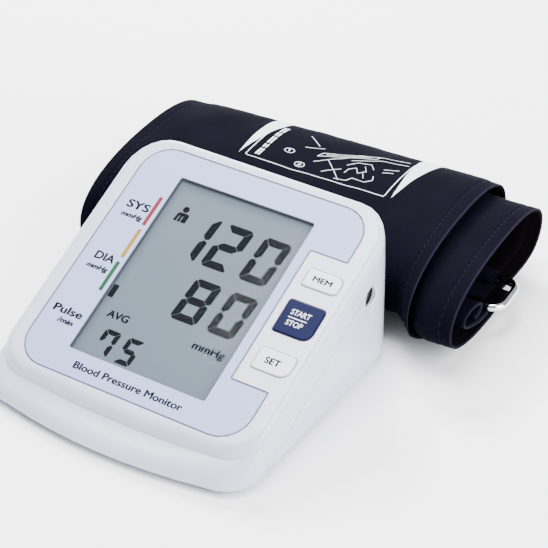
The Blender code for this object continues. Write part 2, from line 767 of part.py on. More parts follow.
# ---------------------------------------------------------------- air system
def build_pump(steel, plastic, brass):
    add("pump_motor", turned(
        ((0.0, 0.0030), (0.0016, 0.0030), (0.0016, PUMP_RADIUS - 0.001), (0.0026, PUMP_RADIUS),
         (MOTOR_RIGHT - MOTOR_LEFT, PUMP_RADIUS)),
        (MOTOR_LEFT, PUMP_Y, PUMP_Z), (1, 0, 0), 32,
    ), steel)
    start = MOTOR_RIGHT + GAP
    head = add("pump_head", rod(
        (start, PUMP_Y, PUMP_Z), (HEAD_RIGHT, PUMP_Y, PUMP_Z), PUMP_RADIUS, 32
    ), plastic)
    cut(head, "crank_room", rod(
        (start - 0.001, PUMP_Y, PUMP_Z), (start + CRANK_ROOM, PUMP_Y, PUMP_Z), PUMP_RADIUS - HEAD_WALL, 24
    ))
    port = pump_port()
    join(head, "outlet", rod(port - Vector((0.006, 0, 0)), port, NIPPLE, 12))
    shaft = start + GAP
    crank = add("pump_crank", rod(
        (shaft, PUMP_Y, PUMP_Z), (shaft + CRANK_LENGTH, PUMP_Y, PUMP_Z), CRANK_RADIUS, 16
    ), brass, pivot=(shaft, PUMP_Y, PUMP_Z))
    disc = Vector((shaft + ECCENTRIC_START, PUMP_Y, PUMP_Z + CRANK_THROW))
    join(crank, "eccentric", rod(disc, disc + Vector((ECCENTRIC_THICK, 0, 0)), ECCENTRIC_RADIUS, 24))


def pump_port():
    return Vector((HEAD_RIGHT + 0.0030, PUMP_Y - 0.0060, PUMP_Z + 0.0025))


def build_manifold(plastic):
    x, y, z = MANIFOLD
    half = MANIFOLD_HALF
    block = add("manifold", box((x - half, y - half, z - half), (x + half, y + half, z + half)), plastic)
    for name, way in manifold_ways().items():
        join(block, name, rod(
            MANIFOLD + way * (half - 0.001), MANIFOLD + way * (half + MANIFOLD_NIPPLE), NIPPLE, 12
        ))


def manifold_ways():
    return {
        "to_pump": Vector((-1, 0, 0)), "to_jack": Vector((1, 0, 0)), "to_valve": Vector((0, 1, 0)),
        "to_sensor": Vector((0, -1, 0)),
    }


def build_valve(steel, brass):
    x = MANIFOLD.x
    y = MANIFOLD.y + MANIFOLD_HALF + VALVE_AWAY
    z = MANIFOLD.z
    low = Vector((x - 0.0065, y, z - 0.0060))
    high = Vector((x + 0.0075, y + 0.0110, z + 0.0050))
    body = add("valve_body", box(low, high), steel)
    join(body, "inlet", rod((x, y + 0.001, z), (x, y - VALVE_PORT, z), NIPPLE, 12))
    axis = Vector((high.x, y + 0.0055, z - 0.0005))
    east = Vector((1, 0, 0))
    cut(body, "bore", rod(axis - east * VALVE_BORE_DEPTH, axis + east * 0.001, VALVE_BORE, 20))
    start = axis - east * PLUNGER_DEPTH
    add("valve_plunger", turned(
        ((0.0, 0.0016), (0.0008, 0.0022), (0.0105, 0.0022), (0.0105, 0.0032), (0.0113, 0.0032)),
        start, (1, 0, 0), 20,
    ), brass, pivot=start)


def sensor_port():
    """Tip of the pressure sensor's port, under the board and pointing up the slope."""
    low = -BOARD_DEPTH - BOARD_THICK - GAP - SENSOR_TALL
    return face_point(MANIFOLD.x - DISPLAY_X, SENSOR_HEAD + SENSOR_PORT, low + SENSOR_TALL / 2)


def build_sensor(plastic):
    """A square sensor soldered under the board."""
    low = -BOARD_DEPTH - BOARD_THICK - GAP - SENSOR_TALL
    u = MANIFOLD.x - DISPLAY_X
    body = add("pressure_sensor", box(
        (u - SENSOR_HALF, SENSOR_FOOT, low), (u + SENSOR_HALF, SENSOR_HEAD, low + SENSOR_TALL), face_point
    ), plastic)
    slope = Vector((0, COS, SIN))
    join(body, "port", rod(sensor_port() - slope * (SENSOR_PORT + 0.001), sensor_port(), NIPPLE, 12))


def build_jack(black):
    """A socket in the side wall for the cuff's hose: a barrel with a bore and a tail for the inner tube."""
    mouth = HALF_WIDTH - JACK_IN
    shoulder = HALF_WIDTH - WALL - RIM_DRAFT - GAP - mouth + JACK_LENGTH
    wide = JACK_RADIUS + JACK_FLANGE
    narrow = JACK_RADIUS - JACK_PLAY
    barrel = add("air_jack", turned(
        ((0.0, NIPPLE), (JACK_TAIL, NIPPLE), (JACK_TAIL, wide), (shoulder, wide), (shoulder, narrow),
         (JACK_LENGTH, narrow)),
        (mouth - JACK_LENGTH, JACK_Y, JACK_Z), (1, 0, 0), 28,
    ), black)
    cut(barrel, "bore", rod(
        (mouth - JACK_BORE_DEPTH, JACK_Y, JACK_Z), (mouth + 0.002, JACK_Y, JACK_Z), JACK_BORE, 20
    ))


def build_tubes(silicone):
    reach = MANIFOLD_HALF + MANIFOLD_NIPPLE + GAP
    ways = manifold_ways()
    port = pump_port()
    east = Vector((1, 0, 0))
    start = port + east * GAP
    end = MANIFOLD + ways["to_pump"] * reach
    lead = east * TUBE_LEAD
    wire("tube_pump", bezier(start, start + lead, end - lead, end), TUBE_RADIUS, silicone)
    start = MANIFOLD + ways["to_jack"] * reach
    end = Vector((HALF_WIDTH - JACK_IN - JACK_LENGTH - GAP, JACK_Y, JACK_Z))
    wire("tube_jack", bezier(start, start + lead, end - lead, end), TUBE_RADIUS, silicone)
    start = MANIFOLD + ways["to_valve"] * reach
    end = MANIFOLD + ways["to_valve"] * (MANIFOLD_HALF + VALVE_AWAY - VALVE_PORT - GAP)
    path = bezier(start, mix(start, end, 0.3), mix(start, end, 0.7), end, 4)
    wire("tube_valve", path, TUBE_RADIUS, silicone)
    slope = Vector((0, COS, SIN))
    start = MANIFOLD + ways["to_sensor"] * reach
    end = sensor_port() + slope * GAP
    wire("tube_sensor", bezier(start, start + ways["to_sensor"] * 0.002, end + slope * 0.002, end),
         TUBE_RADIUS, silicone)


# ---------------------------------------------------------------- rolled cuff
AXIS = Vector((math.cos(ROLL_TURN), math.sin(ROLL_TURN), 0.0))
ACROSS = Vector((-math.sin(ROLL_TURN), math.cos(ROLL_TURN), 0.0))
MIDDLE = (ROLL_FRONT + ROLL_BACK) / 2


def turns_inside(angle):
    """How many thicknesses inside the outer turn the strip lies; it steps in just before each full turn."""
    turns = (angle - STRIP_START) / math.tau
    whole = math.floor(turns)
    return whole + smooth((turns - whole - 1 + STEP_SHARE) / STEP_SHARE)


def section(angle):
    """Middle line of the wound strip at an angle round the roll: distance across, and height."""
    turns = turns_inside(angle)
    half = (ROLL_BACK - ROLL_FRONT - CUFF_THICK) / 2 - PITCH_SIDE * turns
    foot = CUFF_THICK / 2 + PITCH_FOOT * turns
    top = ROLL_HEIGHT - CUFF_THICK / 2 - PITCH_TOP * turns
    power = 2 / ROLL_SQUARE
    cosine = math.cos(angle)
    sine = math.sin(angle)
    across = math.copysign(abs(cosine) ** power, cosine)
    upward = math.copysign(abs(sine) ** power, sine)
    return Vector((MIDDLE + half * across, (top + foot) / 2 + (top - foot) / 2 * upward))


def dent(along):
    """How much the section is squeezed towards its back where the case stands against it."""
    share = (DENT_END - abs(along - DENT_CENTRE)) / (DENT_END - DENT_FLAT)
    reach = max(-HALF_WIDTH, min(HALF_WIDTH, along))
    case_back = (CASE_BACK - reach * math.sin(ROLL_TURN)) / math.cos(ROLL_TURN) + DENT_GAP
    return 1 - smooth(share) * (case_back - ROLL_FRONT) / (ROLL_BACK - ROLL_FRONT)


def roll_point(along, across, height):
    """A point beside, across and above the roll, in the build frame."""
    across = ROLL_BACK - (ROLL_BACK - across) * dent(along)
    point = AXIS * along + ACROSS * across
    point.z = height
    return point


def strip_point(angle, x, n):
    """A point of the strip: angle round the roll, x across the strip, n out from its middle line."""
    step = math.radians(0.5)
    here = section(angle)
    way = (section(angle + step) - section(angle - step)).normalized()
    out = Vector((way.y, -way.x))
    shift = OUTER_MIDDLE + INNER_SHIFT * smooth((angle - SHIFT_FROM) / (SHIFT_TO - SHIFT_FROM))
    place = here + out * n
    return roll_point(x + shift, place.x, place.y)


def edges(values, least=1e-6):
    made = []
    for value in sorted(values):
        if not made or value - made[-1] > least:
            made.append(value)
    return made


def strip_angles():
    """Angles at which every rolled piece has its edges, so that their facets lie parallel."""
    count = round((STRIP_END - STRIP_START) / STEP_ANGLE)
    even = [mix(STRIP_START, STRIP_END, k / count) for k in range(count + 1)]
    extra = [BLADDER_FROM, BLADDER_TO, BLADDER_FROM + BLADDER_TURN, BLADDER_TO - BLADDER_TURN]
    extra += [PORT_ANGLE - PORT_CHANNEL, PORT_ANGLE - PORT_HALF, PORT_ANGLE + PORT_HALF,
              PORT_ANGLE + PORT_CHANNEL]
    kept = [value for value in even if all(abs(value - other) > 0.03 for other in extra)]
    return edges(kept + extra)


def strip_widths():
    half = CUFF_WIDTH / 2
    pocket = half - BLADDER_MARGIN
    even = [-0.068, -0.064, -0.056, -0.048, -0.040, -0.020, 0.0, 0.020, 0.040, 0.048, 0.054, 0.064, 0.068]
    return edges(even + [-half, half, -pocket, pocket, BLADDER_PLAY - pocket, pocket - BLADDER_PLAY])


def blocks(angles, widths, levels, solid):
    """A closed skin round the solid cells of a grid in strip coordinates."""
    shape = bmesh.new()
    made = {}

    def corner(i, j, k):
        if (i, j, k) not in made:
            made[i, j, k] = shape.verts.new(strip_point(angles[i], widths[j], levels[k]))
        return made[i, j, k]

    def filled(i, j, k):
        inside = 0 <= i < len(angles) - 1 and 0 <= j < len(widths) - 1 and 0 <= k < len(levels) - 1
        if not inside:
            return False
        cell = (angles[i:i + 2], widths[j:j + 2], levels[k:k + 2])
        return solid(*[(low + high) / 2 for low, high in cell])

    for i in range(len(angles) - 1):
        for j in range(len(widths) - 1):
            for k in range(len(levels) - 1):
                if not filled(i, j, k):
                    continue
                for axis in range(3):
                    for side in (0, 1):
                        beside = [i, j, k]
                        beside[axis] += 2 * side - 1
                        if filled(*beside):
                            continue
                        ring = []
                        for a, b in ((0, 0), (1, 0), (1, 1), (0, 1)):
                            at = [a, b]
                            at.insert(axis, side)
                            ring.append(corner(i + at[0], j + at[1], k + at[2]))
                        shape.faces.new(ring)
    return shape


def build_band(cloth):
    half = CUFF_WIDTH / 2
    pocket = half - BLADDER_MARGIN

    def solid(angle, x, n):
        if abs(n) > POCKET_THICK / 2:
            return True
        in_pocket = BLADDER_FROM < angle < BLADDER_TO and abs(x) < pocket
        in_channel = abs(angle - PORT_ANGLE) < PORT_CHANNEL and x < 0
        return not (in_pocket or in_channel)

    levels = [-CUFF_THICK / 2, -POCKET_THICK / 2, POCKET_THICK / 2, CUFF_THICK / 2]
    add("cuff_band", blocks(strip_angles(), strip_widths(), levels, solid), cloth)


def build_bladder(rubber):
    pocket = CUFF_WIDTH / 2 - BLADDER_MARGIN - BLADDER_PLAY
    thick = POCKET_THICK / 2 - GAP

    def solid(angle, x, n):
        return BLADDER_FROM + BLADDER_TURN < angle < BLADDER_TO - BLADDER_TURN and abs(x) < pocket

    add("cuff_bladder", blocks(strip_angles(), strip_widths(), [-thick, thick], solid), rubber)


def build_hose_port(plastic):
    """A flat connector that leads from the bladder out of the strip's left edge."""
    start = BLADDER_MARGIN + BLADDER_PLAY - CUFF_WIDTH / 2 - GAP
    end = -CUFF_WIDTH / 2 - PORT_REACH
    thick = POCKET_THICK / 2 - GAP
    angles = [PORT_ANGLE - PORT_HALF, PORT_ANGLE + PORT_HALF]
    tongue = blocks(angles, [end + PORT_TONGUE, start], [-thick, thick], lambda *cell: True)
    port = add("hose_port", tongue, plastic)
    root = strip_point(PORT_ANGLE, -CUFF_WIDTH / 2 - PORT_ROOT, 0.0)
    tip = strip_point(PORT_ANGLE, end, 0.0)
    middle = Vector((0, 0, 0.0006))
    join(port, "nipple", rod(root + middle, tip + middle, PORT_NIPPLE, 16))


def build_patch(name, first, last, low, high, left, right, material):
    angles = edges([a for a in strip_angles() if first < a < last] + [first, last], 0.02)
    widths = edges([w for w in strip_widths() if left < w < right] + [left, right])
    add(name, blocks(angles, widths, [low, high], lambda *cell: True), material)


def ring_frame(x, across, height):
    """A point of the roll's own straight frame, in the build frame."""
    return AXIS * x + ACROSS * across + Vector((0, 0, height))


def build_ring(chrome, cloth):
    """A wide wire ring, one rod of it held in a sewn loop at the strip's inner end."""
    hinge = Vector(RING_HINGE)
    free = Vector(RING_FREE)
    span = (hinge - free).length
    way = (free - hinge) / span
    corners = ((RING_LEFT, 0.0), (RING_RIGHT, 0.0), (RING_RIGHT, span), (RING_LEFT, span))
    points = []
    for x, reach in rounded(corners, (RING_CORNER,) * 4, steps=5):
        place = hinge + way * reach
        points.append(ring_frame(x, place.x, place.y))
    pivot = ring_frame((RING_LEFT + RING_RIGHT) / 2, hinge.x, hinge.y)
    wire("strap_ring", points, RING_WIRE, chrome, sides=3, closed=True, pivot=pivot)
    inner = RING_WIRE + GAP
    outer = inner + LOOP_THICK
    foot = hinge.y - outer
    outline = [(hinge.x - LOOP_TAIL, foot), (hinge.x, foot)]
    for step in range(1, 15):
        angle = math.radians(-90 + 180 * step / 14)
        outline.append((hinge.x + outer * math.cos(angle), hinge.y + outer * math.sin(angle)))
    for step in range(1, 8):
        angle = math.radians(90) + LOOP_CLOSE * step / 7
        outline.append((hinge.x + outer * math.cos(angle), hinge.y + outer * math.sin(angle)))
    outline += [(hinge.x - outer - 0.001, foot + LOOP_THICK), (hinge.x - LOOP_TAIL, foot + LOOP_THICK)]
    loop = loft([[ring_frame(x, a, b) for a, b in outline] for x in (LOOP_LEFT, LOOP_RIGHT)])
    loop = add("ring_loop", loop, cloth)
    left, right = [ring_frame(x, hinge.x, hinge.y) for x in (LOOP_LEFT - 0.01, LOOP_RIGHT + 0.01)]
    cut(loop, "bore", rod(left, right, inner, 24))


def recentre():
    """Moves everything so that the origin is the middle of the bounding box, on the table."""
    bpy.context.view_layer.update()
    graph = bpy.context.evaluated_depsgraph_get()
    points = []
    for item in bpy.data.objects:
        if item.hide_render:
            continue
        seen = item.evaluated_get(graph)
        mesh = seen.to_mesh()
        points += [seen.matrix_world @ vertex.co for vertex in mesh.vertices]
        seen.to_mesh_clear()
    low = Vector([min(point[axis] for point in points) for axis in range(3)])
    high = Vector([max(point[axis] for point in points) for axis in range(3)])
    middle = (low + high) / 2
    for item in bpy.data.objects:
        item.location -= Vector((middle.x, middle.y, low.z))


def main():
    clear_scene()
    white = finish("white_plastic", (0.86, 0.86, 0.90), 0.35)
    panel = finish("pale_blue_panel", (0.60, 0.66, 0.80), 0.4)
    clear = finish("clear_window", (0.85, 0.88, 0.90), 0.08)
    cell = finish("lcd_cell", (0.34, 0.40, 0.42), 0.3)
    carrier = finish("grey_carrier", (0.25, 0.27, 0.31), 0.5)
    blue = finish("blue_key", (0.04, 0.06, 0.26), 0.35)
    black = finish("black_plastic", (0.02, 0.02, 0.02), 0.5)
    rubber = finish("grey_rubber", (0.12, 0.12, 0.13), 0.8)
    laminate = finish("green_laminate", (0.02, 0.18, 0.07), 0.45)
    steel = finish("plated_steel", (0.62, 0.63, 0.65), 0.3, 1.0)
    brass = finish("brass", (0.72, 0.52, 0.22), 0.3, 1.0)
    jacket = finish("cell_jacket", (0.08, 0.10, 0.16), 0.3)
    silicone = finish("silicone", (0.75, 0.76, 0.74), 0.5)
    cloth = finish("navy_cloth", (0.012, 0.010, 0.028), 0.9)
    hooks = finish("hook_tape", (0.02, 0.02, 0.03), 0.8)
    pile = finish("pile_tape", (0.03, 0.03, 0.06), 0.95)
    chrome = finish("chrome_wire", (0.80, 0.81, 0.83), 0.08, 1.0)
    build_front_cover(white)
    build_rear_cover(white)
    build_battery_door(white)
    build_fasteners_and_feet(steel, rubber)
    build_display(panel, clear, cell, carrier, rubber)
    build_board(laminate, black)
    build_buttons(white, blue)
    build_batteries(jacket, steel)
    build_pump(steel, black, brass)
    build_manifold(black)
    build_valve(steel, brass)
    build_sensor(black)
    build_jack(black)
    build_tubes(silicone)
    build_band(cloth)
    build_bladder(rubber)
    build_hose_port(black)
    outside = CUFF_THICK / 2 + PATCH_GAP
    half = CUFF_WIDTH / 2
    build_patch("hook_patch", HOOKS_FROM, HOOKS_TO, outside, outside + PATCH_THICK,
                PATCH_MARGIN - half, half - PATCH_MARGIN, hooks)
    build_patch("pile_patch", PILE_FROM, PILE_TO, outside, outside + PATCH_THICK,
                PATCH_MARGIN - half, half - PATCH_MARGIN - INNER_SHIFT, pile)
    build_ring(chrome, cloth)
    recentre()


main()
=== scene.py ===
"""Looks of an upper arm blood pressure monitor: its sloping case and its rolled cloth cuff.

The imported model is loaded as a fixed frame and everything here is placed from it, in metres.  The case frame has
X = 0 on the case's centre line, Y = 0 and FACE_HEIGHT at the display window's lower edge, and Z = 0 at the table.
"""

import json
import logging
import math
from dataclasses import dataclass, field
from enum import Enum
from typing import Any, Mapping, Optional, Sequence

import bmesh
import bpy
import numpy as np
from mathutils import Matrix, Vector

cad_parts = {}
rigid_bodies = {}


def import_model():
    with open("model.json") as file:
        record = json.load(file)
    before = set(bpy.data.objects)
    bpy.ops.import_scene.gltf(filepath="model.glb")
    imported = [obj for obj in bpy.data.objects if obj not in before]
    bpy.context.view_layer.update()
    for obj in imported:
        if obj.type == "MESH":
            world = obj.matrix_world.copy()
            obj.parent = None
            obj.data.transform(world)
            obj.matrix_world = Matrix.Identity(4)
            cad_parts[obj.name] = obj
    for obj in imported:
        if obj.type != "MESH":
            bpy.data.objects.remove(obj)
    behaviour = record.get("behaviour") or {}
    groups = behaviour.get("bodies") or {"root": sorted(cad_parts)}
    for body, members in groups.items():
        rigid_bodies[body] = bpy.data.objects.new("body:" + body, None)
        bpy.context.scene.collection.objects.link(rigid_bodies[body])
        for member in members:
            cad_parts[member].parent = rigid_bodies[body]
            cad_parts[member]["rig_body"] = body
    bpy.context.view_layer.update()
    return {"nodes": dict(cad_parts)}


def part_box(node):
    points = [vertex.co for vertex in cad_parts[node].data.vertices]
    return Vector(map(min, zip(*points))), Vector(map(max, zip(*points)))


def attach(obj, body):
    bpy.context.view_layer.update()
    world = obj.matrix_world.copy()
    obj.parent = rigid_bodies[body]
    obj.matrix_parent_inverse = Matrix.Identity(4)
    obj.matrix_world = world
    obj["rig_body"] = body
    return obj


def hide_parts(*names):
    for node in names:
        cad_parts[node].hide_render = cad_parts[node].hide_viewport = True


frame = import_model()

LOG = logging.getLogger("monitor")

Array = np.ndarray
Colour = tuple[float, float, float]
MM = 0.001

FACE_TILT = math.radians(24.4)
FACE_HEIGHT = 20.1 * MM
CASE_FRONT = 26.4 * MM  # from the case's front edge back to the display window's lower edge
DISPLAY_OFFSET = -0.63 * MM  # of the display's middle from the case's

PRINT_SINK = -0.02 * MM  # printed lines start this far inside the surface that they lie on
PRINT_RISE = 0.05 * MM
CHAMFER = 0.08 * MM
CLOTH_CREASE = 60.0  # degrees


# ------------------------------------------------------------------ shader maths
class Wire:
    """A node's output socket that takes part in arithmetic."""

    def __init__(self, graph: "Graph", socket: bpy.types.NodeSocket) -> None:
        """Keeps the socket and the graph that it belongs to."""
        self.graph = graph
        self.socket = socket

    def _with(self, operation: str, first: Any, second: Any = None) -> "Wire":
        """One Math node on one or two values."""
        sockets = {0: first} if second is None else {0: first, 1: second}
        return self.graph.node("ShaderNodeMath", {"operation": operation}, sockets)

    def __add__(self, other: Any) -> "Wire":
        """self + other."""
        return self._with("ADD", self, other)

    def __sub__(self, other: Any) -> "Wire":
        """self - other."""
        return self._with("SUBTRACT", self, other)

    def __rsub__(self, other: Any) -> "Wire":
        """other - self."""
        return self._with("SUBTRACT", other, self)

    def __mul__(self, other: Any) -> "Wire":
        """self * other."""
        return self._with("MULTIPLY", self, other)

    def __gt__(self, other: Any) -> "Wire":
        """1 where self is greater than other."""
        return self._with("GREATER_THAN", self, other)

    __radd__ = __add__
    __rmul__ = __mul__

    def sine(self) -> "Wire":
        """Sine of the value."""
        return self._with("SINE", self)

    def size(self) -> "Wire":
        """Absolute value."""
        return self._with("ABSOLUTE", self)

    def cut(self) -> "Wire":
        """The value held between 0 and 1."""
        return self.graph.node("ShaderNodeClamp", {}, {"Value": self})


class Graph:
    """A material's nodes while they are being put together."""

    def __init__(self, name: str) -> None:
        """Starts a material with a Principled shader and its output.

        Args:
            name: the material's name.
        """
        self.material = bpy.data.materials.new(name)
        self.material.use_nodes = True
        self.nodes = self.material.node_tree.nodes
        self.links = self.material.node_tree.links
        self.shader = self.nodes["Principled BSDF"]

    def feed(self, socket: bpy.types.NodeSocket, value: Any) -> None:
        """Links a wire to a socket, or sets the socket's own value.

        Args:
            socket: the input that takes the value.
            value: a Wire, a number or a tuple of numbers.
        """
        if isinstance(value, Wire):
            self.links.new(value.socket, socket)
        elif isinstance(value, tuple) and len(value) == 3 and socket.type == "RGBA":
            socket.default_value = (*value, 1.0)
        else:
            socket.default_value = value

    def node(self, kind: str, settings: Mapping[str, Any], sockets: Mapping[Any, Any], output: Any = 0) -> Wire:
        """Adds a node.

        Args:
            kind: the node's type.
            settings: its properties, set first; "stops" gives a ramp's positions and colours.
            sockets: values or wires by the input's name or number.
            output: name or number of the output that is wanted.

        Returns:
            The wire from that output.
        """
        made = self.nodes.new(kind)
        for key, value in settings.items():
            if key == "stops":
                ramp = made.color_ramp.elements
                for index, (place, colour) in enumerate(value):
                    stop = ramp[index] if index < 2 else ramp.new(place)
                    stop.position = place
                    stop.color = (*colour, 1.0)
            else:
                setattr(made, key, value)
        for key, value in sockets.items():
            self.feed(made.inputs[key], value)
        return Wire(self, made.outputs[output])

    def place(self) -> Wire:
        """Object coordinates, in metres."""
        return self.node("ShaderNodeTexCoord", {}, {}, "Object")

    def parts(self, vector: Wire) -> list[Wire]:
        """The three parts of a vector."""
        split = self.node("ShaderNodeSeparateXYZ", {}, {0: vector}).socket.node
        return [Wire(self, socket) for socket in split.outputs]

    def weave(self) -> list[Wire]:
        """Distance along and across a strip of cloth, in metres, from its UV map."""
        return self.parts(self.node("ShaderNodeUVMap", {"uv_map": "cloth"}, {}, "UV"))[:2]

    def noise(self, scale: float, detail: float = 2.0, where: Optional[Wire] = None) -> Wire:
        """Smooth noise between 0 and 1 at a number of features per metre."""
        sockets = {"Vector": where or self.place(), "Scale": scale, "Detail": detail}
        return self.node("ShaderNodeTexNoise", {}, sockets, "Fac")

    def blend(self, share: Any, low: Any, high: Any) -> Wire:
        """Mixes two colours by a share from 0 to 1; 6, 7 and 2 are the node's colour sockets."""
        return self.node("ShaderNodeMix", {"data_type": "RGBA"}, {0: share, 6: low, 7: high}, 2)

    def bump(self, height: Wire, depth: float, strength: float = 1.0) -> None:
        """Raises the surface by height times depth metres."""
        normal = self.node("ShaderNodeBump", {}, {"Height": height, "Distance": depth, "Strength": strength})
        self.feed(self.shader.inputs["Normal"], normal)

    def set(self, **values: Any) -> None:
        """Sets or links the shader's own sockets, with _ for each space in their names."""
        for key, value in values.items():
            self.feed(self.shader.inputs[key.replace("_", " ")], value)


def tint(colour: Colour, factor: float) -> Colour:
    """The colour made lighter or darker by a factor."""
    return tuple(min(1.0, channel * factor) for channel in colour)


# ------------------------------------------------------------------ finishes
@dataclass(frozen=True)
class Finish:
    """A surface finish; each kind builds its own nodes once."""

    name: str
    colour: Colour
    roughness: float = 0.4
    metallic: float = 0.0

    def shade(self, graph: Graph) -> None:
        """Adds this finish's nodes to a graph."""
        raise NotImplementedError

    def material(self) -> bpy.types.Material:
        """Makes the finish's material on first use.

        Returns:
            The material.
        """
        known = bpy.data.materials.get(self.name)
        if known:
            return known
        graph = Graph(self.name)
        graph.material.diffuse_color = (*self.colour, 1.0)
        graph.set(Metallic=self.metallic)
        self.shade(graph)
        return graph.material


@dataclass(frozen=True)
class Moulding(Finish):
    """Injection moulded plastic with a fine eroded grain and faint clouds of gloss.

    The grain is in features per metre and its depth in metres.
    """

    grain: float = 1600.0
    depth: float = 0.000012
    coat: float = 0.0
    gloss: float = 0.5

    def shade(self, graph: Graph) -> None:
        """Grain lifts the surface a little and both grain and clouds vary the gloss.

        Args:
            graph: the material being put together.
        """
        grain = graph.noise(self.grain, 3.0)
        cloud = graph.noise(45.0, 2.0)
        graph.set(
            Base_Color=graph.blend(cloud, tint(self.colour, 0.975), tint(self.colour, 1.02)),
            Roughness=self.roughness + (grain - 0.5) * 0.10 + (cloud - 0.5) * 0.08,
            Coat_Weight=self.coat,
            Coat_Roughness=0.12,
            Specular_IOR_Level=self.gloss,
        )
        graph.bump(grain, self.depth)


@dataclass(frozen=True)
class PrintedFilm(Finish):
    """A screen printed film: flat colour with a very fine tooth."""

    def shade(self, graph: Graph) -> None:
        """Ink density drifts slowly and the tooth is only seen in the gloss.

        Args:
            graph: the material being put together.
        """
        drift = graph.noise(18.0, 1.0)
        tooth = graph.noise(2600.0, 2.0)
        graph.set(
            Base_Color=graph.blend(drift, tint(self.colour, 0.95), tint(self.colour, 1.05)),
            Roughness=self.roughness + (tooth - 0.5) * 0.12,
        )
        graph.bump(tooth, 0.000004)


@dataclass(frozen=True)
class DisplayCell(Finish):
    """A reflective liquid crystal cell: grey-green, with a slow drift and a fine sparkle."""

    def shade(self, graph: Graph) -> None:
        """Slow drift of tone under a fine diffuser grain.

        Args:
            graph: the material being put together.
        """
        drift = graph.noise(22.0, 1.0)
        sparkle = graph.noise(3200.0, 1.0)
        share = (drift * 0.75 + sparkle * 0.25).cut()
        graph.set(
            Base_Color=graph.blend(share, tint(self.colour, 0.93), tint(self.colour, 1.07)),
            Roughness=self.roughness + (sparkle - 0.5) * 0.1,
            Specular_IOR_Level=0.2,
        )


@dataclass(frozen=True)
class ClearWindow(Finish):
    """A clear hard window, with faint smears in its gloss."""

    alpha: float = 0.035

    def shade(self, graph: Graph) -> None:
        """Nearly all light passes; smears vary the gloss.

        Args:
            graph: the material being put together.
        """
        smear = graph.noise(60.0, 4.0)
        graph.set(
            Base_Color=graph.blend(smear, tint(self.colour, 0.8), self.colour),
            Roughness=self.roughness + smear * 0.05,
            Alpha=self.alpha,
        )


@dataclass(frozen=True)
class Metal(Finish):
    """Plated or turned metal with fine scratches that run one way."""

    stretch: tuple[float, float, float] = (60.0, 2200.0, 2200.0)

    def shade(self, graph: Graph) -> None:
        """Noise stretched along X makes the brushing; clouds dull it in places.

        Args:
            graph: the material being put together.
        """
        where = graph.node(
            "ShaderNodeMapping", {}, {"Vector": graph.place(), "Scale": self.stretch}, "Vector"
        )
        brush = graph.noise(1.0, 2.0, where)
        cloud = graph.noise(120.0, 3.0)
        graph.set(
            Base_Color=graph.blend(cloud, tint(self.colour, 0.92), tint(self.colour, 1.04)),
            Roughness=self.roughness + (brush - 0.5) * 0.12 + (cloud - 0.5) * 0.06,
        )
        graph.bump(brush, 0.000004)


@dataclass(frozen=True)
class WovenCloth(Finish):
    """Plain woven nylon: warp and weft threads, uneven yarns and a paler raw edge."""

    thread: float = 0.62 * MM
    half_width: float = 1.0
    edge: Colour = (0.0095, 0.008, 0.016)
    edge_width: float = 0.7 * MM

    def shade(self, graph: Graph) -> None:
        """The product of two sines is the over and under of the threads; noise makes flecks and slubs.

        Args:
            graph: the material being put together.
        """
        along, across = graph.weave()
        turns = math.tau / self.thread
        knit = (along * turns).sine() * (across * turns).sine() * 0.5 + 0.5
        fleck = graph.noise(1500.0, 2.0)
        cloud = graph.noise(70.0, 3.0)
        share = (knit * 0.35 + fleck * 0.75 + cloud * 0.45 - 0.35).cut()
        body = graph.blend(share, tint(self.colour, 0.45), tint(self.colour, 1.9))
        hem = across.size() > self.half_width - self.edge_width
        graph.set(
            Base_Color=graph.blend(hem, body, self.edge),
            Roughness=self.roughness + (fleck - 0.5) * 0.15,
            Specular_IOR_Level=0.015,
            Sheen_Weight=0.004,
            Sheen_Roughness=0.4,
            Sheen_Tint=(0.5, 0.47, 0.9),
        )
        graph.bump(knit * 0.7 + fleck * 0.5, 0.00006)


@dataclass(frozen=True)
class TapeFinish(Finish):
    """Hook or pile tape: dense little loops."""

    loops: float = 900.0

    def shade(self, graph: Graph) -> None:
        """Voronoi cells are the loops, seen in both height and tone.

        Args:
            graph: the material being put together.
        """
        loop = graph.node(
            "ShaderNodeTexVoronoi", {}, {"Vector": graph.place(), "Scale": self.loops}, "Distance"
        )
        graph.set(
            Base_Color=graph.blend(loop, tint(self.colour, 1.9), tint(self.colour, 0.5)),
            Roughness=self.roughness + (loop - 0.5) * 0.1,
            Specular_IOR_Level=0.15,
            Sheen_Weight=0.04,
        )
        graph.bump(1.0 - loop, 0.00025)


@dataclass(frozen=True)
class Laminate(Finish):
    """Circuit board with copper tracks that show as paler lines under the resist."""

    def shade(self, graph: Graph) -> None:
        """Bent bands, thresholded, are the tracks.

        Args:
            graph: the material being put together.
        """
        waves = graph.node(
            "ShaderNodeTexWave", {"wave_type": "BANDS", "bands_direction": "X"},
            {"Vector": graph.place(), "Scale": 130.0, "Distortion": 3.0, "Detail": 1.0}, "Fac",
        )
        tracks = waves > 0.72
        graph.set(
            Base_Color=graph.blend(tracks, self.colour, tint(self.colour, 1.8)),
            Roughness=self.roughness + tracks * 0.08,
        )
        graph.bump(tracks, 0.00003)


@dataclass(frozen=True)
class CellJacket(Finish):
    """A battery's printed jacket, with a copper-coloured band at one end of each cell."""

    band: Colour = (0.55, 0.28, 0.10)
    pitch: float = 0.0509

    def shade(self, graph: Graph) -> None:
        """A sine along the row, thresholded, colours one end of every cell.

        Args:
            graph: the material being put together.
        """
        along = graph.parts(graph.place())[0]
        band = (along * (math.tau / self.pitch)).sine() > 0.55
        wear = graph.noise(400.0, 3.0)
        graph.set(
            Base_Color=graph.blend(band, self.colour, self.band),
            Roughness=self.roughness + (wear - 0.5) * 0.15,
        )


